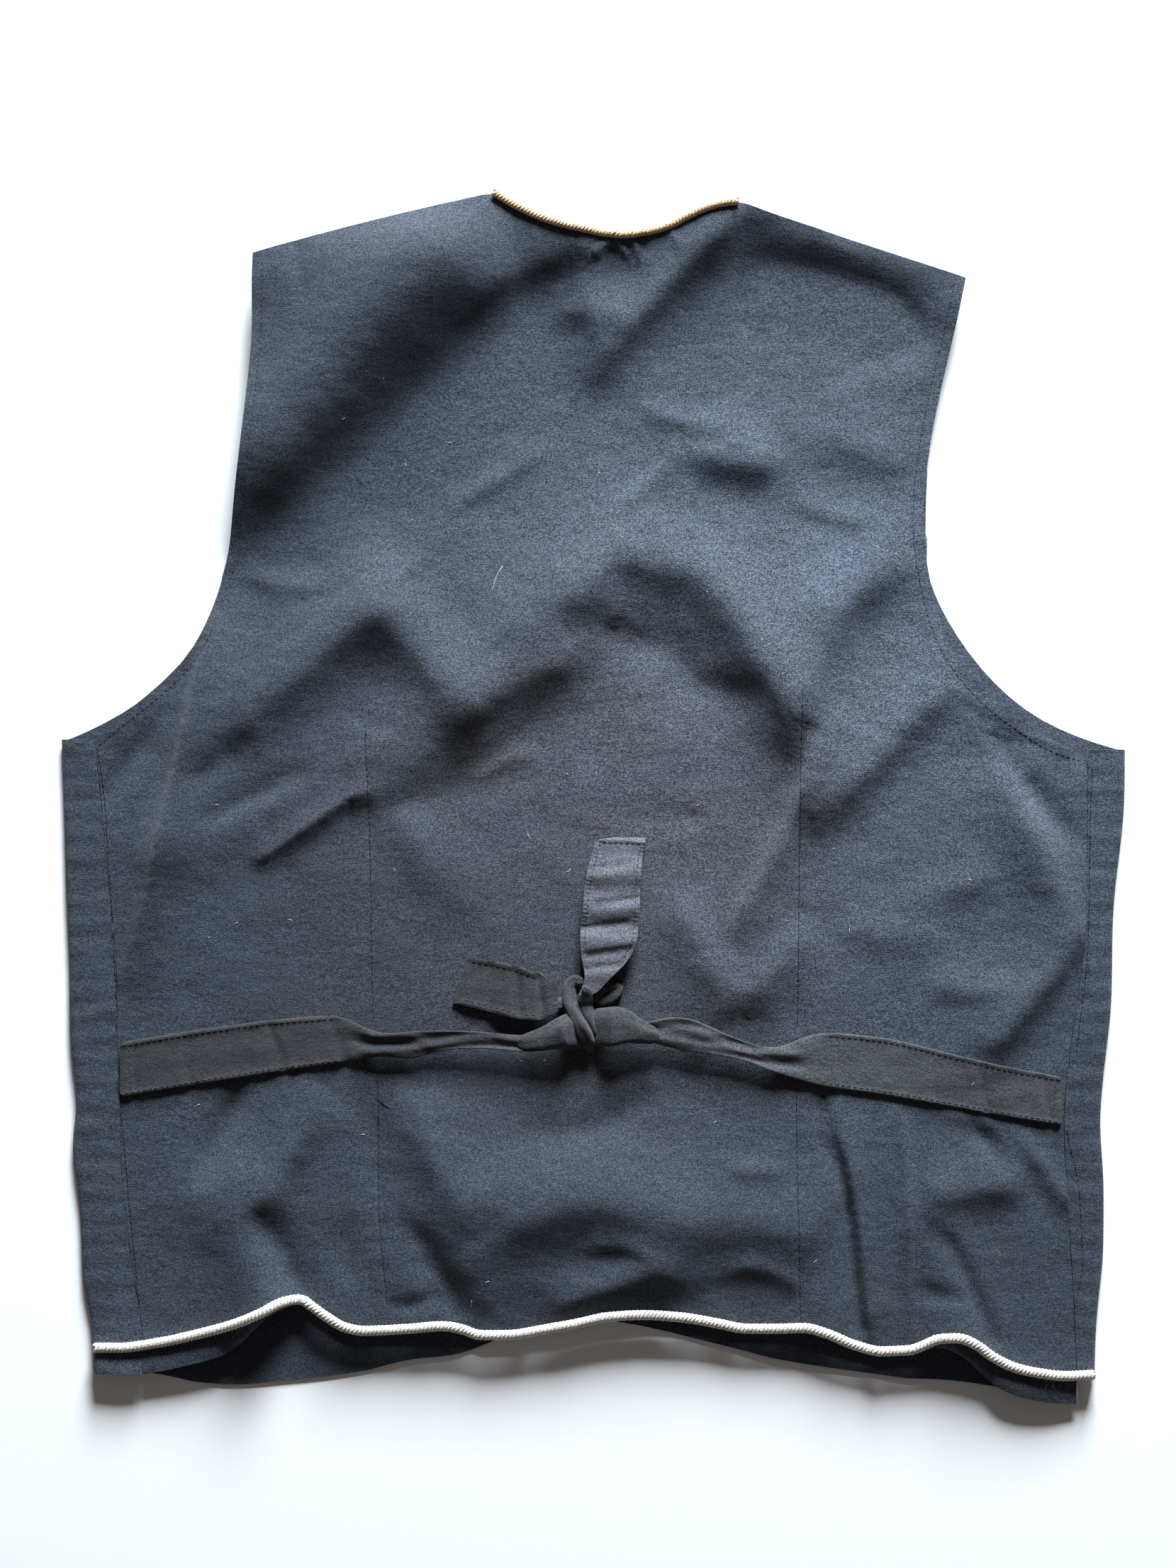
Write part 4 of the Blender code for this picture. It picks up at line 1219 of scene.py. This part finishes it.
BELT_CREASES_LEFT = [Crease(*row) for row in [
    ("end box", -228, -122, -226, -146, -0.5, 2, 2, 3),
    ("cross 1", -202, -117, -198, -142, -0.6, 2.5, 3, 3),
    ("cross 2", -160, -112, -152, -134, -0.9, 2.5, 4, 3),
    ("cross 3", -130, -108, -122, -130, -0.7, 3, 3, 3),
]]
BELT_CREASES_RIGHT = [Crease(*row) for row in [
    ("cross 1", 120, -118, 118, -144, -0.6, 3, 3, 3),
    ("cross 2", 190, -130, 194, -155, -0.7, 3, 3, 3),
    ("cross 3", 222, -138, 226, -160, -0.5, 2, 2, 3),
]]
END_UP_CREASES = [Crease(*row) for row in [
    ("cross 1", -2, -35, 14, -33, -0.7, 1.8, 2.6, 2),
    ("cross 2", 2, -52, 23, -49, -0.9, 1.8, 2.8, 2),
    ("cross 3", -5, -64, 16, -61, -0.8, 1.6, 2.6, 2),
    ("cross 4", -2, -77, 18, -74, -0.9, 1.8, 2.6, 2),
    ("cross 5", -4, -84, 12, -82, -0.8, 1.6, 2.0, 2),
]]
END_LEFT_CREASES = [Crease(*row) for row in [
    ("cross 1", -50, -82, -52, -104, -0.8, 2, 3, 2),
    ("cross 2", -38, -84, -36, -108, -1.1, 2, 3, 2),
    ("cross 3", -27, -88, -24, -110, -1.2, 2, 2.6, 2),
]]

HEM_CORD_LINE = [
    (-246.5, -271.5), (-234, -271.5), (-215, -269), (-197, -265), (-178, -259.5), (-164, -253.5),
    (-152, -248), (-145, -247.5), (-139, -251), (-131, -256.5), (-122, -261.5), (-113, -263), (-93, -262),
    (-74, -260.5), (-65, -262), (-56, -265), (-43, -265), (-23, -262), (-7, -259), (7, -256), (25, -255),
    (45, -256.5), (62, -259.5), (76, -262), (91, -262), (104, -261.5), (116, -264.5), (129, -270),
    (142, -273), (156, -272.5), (163, -270), (171, -266.5), (180, -266), (188, -269), (197, -275.5),
    (208, -281), (221, -284), (234, -285.5), (247.5, -285),
]
NECK_CORD_LINE = [
    (-49, 299), (-37.5, 292), (-27, 287), (-16.5, 283.5), (-6, 281), (4.5, 279), (15, 278), (25.5, 279.5),
    (36, 282), (46.5, 287), (57, 291.5), (66, 293.5), (71, 294),
]

LINT = [
    (-103, 205.6, 1.4, 1.2), (-48.5, 107.6, 8.0, 1.4), (-31.7, -19, 1.6, 1.9), (109.6, -228.7, 1.2, 0.6),
    (-71, 176, 1.0, 0.4), (12, 141, 1.3, 0.8), (150, 120, 1.2, 2.2), (-12, -36, 1.4, 0.3),
    (60, -160, 1.0, 1.0), (-150, -60, 1.2, 2.6), (186, -40, 1.1, 0.2), (-60, -250, 2.2, 1.1),
    (224, -290, 2.4, 1.1), (227, -290.5, 2.0, 2.2),
]

KNOT_ROLLS = [Roll(*row) for row in [
    ("wrap band", ((-38, -121, 3.0, -1.2), (-24, -118.5, 5.4, -0.2), (-8, -114, 9.0, 0.2),
     (10, -112.8, 9.4, 0.2), (22, -115, 6.0, -0.2), (33, -118, 3.2, -1.2)), 0.36, 0.09),
    ("coil outer", ((-4, -90.5, 2.4, 0), (-9, -90, 2.9, 0.5), (-12, -93.5, 3.2, 1), (-12.2, -99, 3.4, 2),
     (-9.5, -106, 3.7, 4), (-5.5, -113, 3.9, 5.4), (-2.5, -119.5, 3.2, 4.4), (-1, -126, 2.0, -1)), 0.8,
     0.11),
    ("coil inner", ((-5, -92, 2.2, 0), (-3.2, -96, 2.6, 1.4), (-3.6, -102, 2.9, 3.4),
     (-1.6, -109, 2.7, 4.6), (0.4, -115, 2.2, 4.2), (1.4, -120, 1.6, 2)), 0.8, 0.1),
    ("cross over", ((-20, -103, 2.6, -1), (-12, -100, 3.0, 0), (0, -98, 3.0, 0), (9, -99.5, 2.6, -1)), 0.7,
     0.05),
]]

LOOP_ROLLS = [Roll(*row) for row in [
    ("loop", ((0, -101, 2.2, 0), (6, -100, 2.6, 0.6), (11, -97, 2.5, 0.8), (12.8, -93.5, 2.3, 0.6),
     (9, -93, 2.2, 0.8), (3, -95.5, 2.2, 0.6), (-1, -98, 2.0, 0)), 0.85, 0.05),
]]

# Runs that stand for a seam line have longer and thicker stitches, in millimetres.
SEAMS = ("dart_seams", "side_seams")
SEAM_STITCH = {"length": 3.6, "thick": 0.56}
BELT_RUNS = ("belt_stitches", "end_stitches")
# How far the hem's stitches lie below the middle of the cord, in millimetres.
HEM_DROP = 4.6
STITCH_LINES = {
    "dart_seams": [
        [(-112.5, 34), (-110.5, -18), (-109, -95), (-108.6, -109)],
        [(-107, -135), (-106, -155), (-106, -192), (-102, -248)],
        [(102.5, 53), (101.5, -61), (101, -112)],
        [(100.7, -143), (100.5, -154.5), (102.5, -258)],
    ],
    "side_seams": [
        [(-245.5, 26), (-241.8, -2), (-238.5, -50), (-235.4, -112)],
        [(-234, -151), (-229.5, -200), (-224.5, -250)],
        [(247, 16), (246, -8), (245, -68), (239, -126)],
        [(234, -164), (240.5, -196), (242, -231), (238, -252)],
    ],
    "armhole_stitches": [
        [(-163, 265), (-163.5, 233), (-165.5, 205), (-168.5, 177), (-172.5, 149), (-176, 121), (-180, 107),
         (-184.5, 92), (-191, 77), (-202, 62), (-217, 48), (-235, 34), (-245, 26)],
        [(178.5, 255), (174, 233), (167.5, 205), (162, 177), (158.5, 149), (158, 135), (159, 121),
         (161.5, 106), (166, 88), (171, 75), (176, 66), (186, 53), (196, 43.5), (209, 34), (228, 22.5),
         (242, 18)],
    ],
    "belt_stitches": [
        [(-233, -122.5), (-197, -116.5), (-160, -111.5), (-128, -109)],
        [(-232, -146), (-197, -140), (-160, -134), (-126, -129.5)],
        [(-229.5, -123), (-228.5, -145)],
        [(116, -117.5), (142, -120), (179, -128.5), (207, -135), (231, -139.5)],
        [(116, -141), (142, -144.5), (179, -151), (207, -156), (230, -160)],
        [(228.5, -140.5), (227, -158.5)],
    ],
    "end_stitches": [
        [(3.5, -21.5), (1.5, -29), (-1.5, -43), (-3.2, -59), (-4, -70), (-3, -79)],
        [(24.3, -23), (22.3, -29), (21, -43), (20.5, -58), (19.2, -70), (15, -79)],
        [(4, -21.7), (24, -22.6)],
        [(-60.5, -80.5), (-47, -83), (-35, -86), (-28, -89)],
        [(-64, -99.5), (-47, -103.5), (-36, -106.5), (-28, -107)],
    ],
    "hem_stitches": [
        [(x, y - HEM_DROP) for x, y in HEM_CORD_LINE[2:5]],
        [(x, y - HEM_DROP) for x, y in HEM_CORD_LINE[-6:-1]],
    ],
}


@dataclass
class Vest:
    """The whole garment, piece by piece."""

    cotton: SlubCotton = SlubCotton(
        "slate_cotton", dark=(0.006, 0.008, 0.012), base=(0.027, 0.041, 0.065), pale=(0.160, 0.200, 0.258),
        warm=(0.042, 0.037, 0.040), warm_middle_pale=(0.158, 0.160, 0.182))
    strip: SlubCotton = SlubCotton(
        "belt_cotton", dark=(0.012, 0.013, 0.015), base=(0.036, 0.040, 0.046), pale=(0.100, 0.105, 0.113),
        warm=(0.048, 0.048, 0.050), turn=-0.12)
    # The right belt strip is made of a lighter cloth than the left one.
    lighter_belt: SlubCotton = SlubCotton(
        "lighter_belt_cotton", dark=(0.016, 0.018, 0.021), base=(0.050, 0.056, 0.065),
        pale=(0.152, 0.161, 0.176), warm=(0.072, 0.072, 0.076), turn=0.16)
    ends: SlubCotton = SlubCotton(
        "end_cotton", dark=(0.022, 0.024, 0.032), base=(0.072, 0.080, 0.098), pale=(0.210, 0.222, 0.254),
        warm=(0.092, 0.092, 0.102), turn=0.08)
    cream: TwistedYarn = TwistedYarn("cream_yarn", (0.80, 0.76, 0.70), (0.56, 0.47, 0.39))
    gold: TwistedYarn = TwistedYarn("gold_yarn", (0.88, 0.62, 0.38), (0.42, 0.22, 0.09))
    thread: PlainPaint = PlainPaint("dark_thread", (0.010, 0.011, 0.014))

    def panels(self) -> list[bpy.types.Object]:
        """Back and fronts."""
        finish = self.cotton.build()
        back = ClothPiece("back", "body_cotton", folds=BACK_FOLDS, rim_edge=1.6, floor=2.8,
                          refine=[DART_LEFT, DART_RIGHT, PLEAT_RIGHT, POCKET_EDGE, SIDE_RIDGE, CREASE_LEFT,
                                  NECK_TOP, NECK_LOW])
        left = FrontPanel("front_left", "body_cotton", wall=0.8)
        right = FrontPanel("front_right", "body_cotton", wall=0.8)
        made = []
        for part in (back, left, right):
            made.append(part.build())
            part.dress(finish)
        return made

    def belt(self, panels: Sequence[bpy.types.Object]) -> list[bpy.types.Object]:
        """Belt strips and free ends, lying on the panels."""
        under = Surface(panels)
        finish = self.strip.build()
        pale = self.ends.build()
        lighter_belt = self.lighter_belt.build()
        parts = [
            (TieStrip("belt_left", "belt_cotton", levels=3, creases=BELT_CREASES_LEFT,
                      folds=BELT_FOLDS_LEFT, whole=True), finish, (0.235, 0.026), 0.0054),
            (TieStrip("belt_right", "belt_cotton", levels=3, creases=BELT_CREASES_RIGHT,
                      folds=BELT_FOLDS_RIGHT, free_from=0.0, free_to=108.0, whole=True),
             lighter_belt, (0.240, 0.026), 0.0056),
            (FreeEnd("tie_end_up", "belt_cotton", levels=3, creases=END_UP_CREASES,
                     folds=END_UP_FOLDS), pale, (0.078, 0.026), None),
            (FreeEnd("tie_end_left", "belt_cotton", levels=3, creases=END_LEFT_CREASES,
                     folds=END_LEFT_FOLDS), finish, (0.050, 0.025), None),
        ]
        made = []
        for part, cloth, flat, area in parts:
            part.under = under
            made.append(part.build())
            part.dress(cloth)
        return made

    def trims(self, cloth: Sequence[bpy.types.Object]) -> None:
        """Knot, cords and stitching."""
        surface = Surface(cloth)
        knot_cloth = self.strip.build()
        KnotRolls("knot", KNOT_ROLLS).build(surface, knot_cloth)
        KnotRolls("knot_loop", LOOP_ROLLS).build(surface, knot_cloth)
        Lint().build(surface, self.cream.build())
        TwistedCord("cord_hem", "cream_cord", 5.3, HEM_CORD_LINE).build(self.cream.build())
        TwistedCord("cord_neck", "gold_cord", 4.5, NECK_CORD_LINE, pitch=5.2, sink=1.2).build(
            self.gold.build())
        thread = self.thread.build()
        for name, lines in STITCH_LINES.items():
            slot = "belt_cotton" if name in BELT_RUNS else "body_cotton"
            sewn = StitchRun(name, slot, **SEAM_STITCH) if name in SEAMS else StitchRun(name, slot)
            run = sewn.build(lines, surface, thread)
            LOG.info("%s: %d faces", run.name, len(run.data.polygons))


def main() -> None:
    """Build the vest and its studio."""
    logging.basicConfig(level=logging.INFO, format="%(message)s")
    Studio().build()
    vest = Vest()
    panels = vest.panels()
    vest.trims(panels + vest.belt(panels))
    bpy.ops.object.select_all(action="DESELECT")


if __name__ == "__main__":
    main()
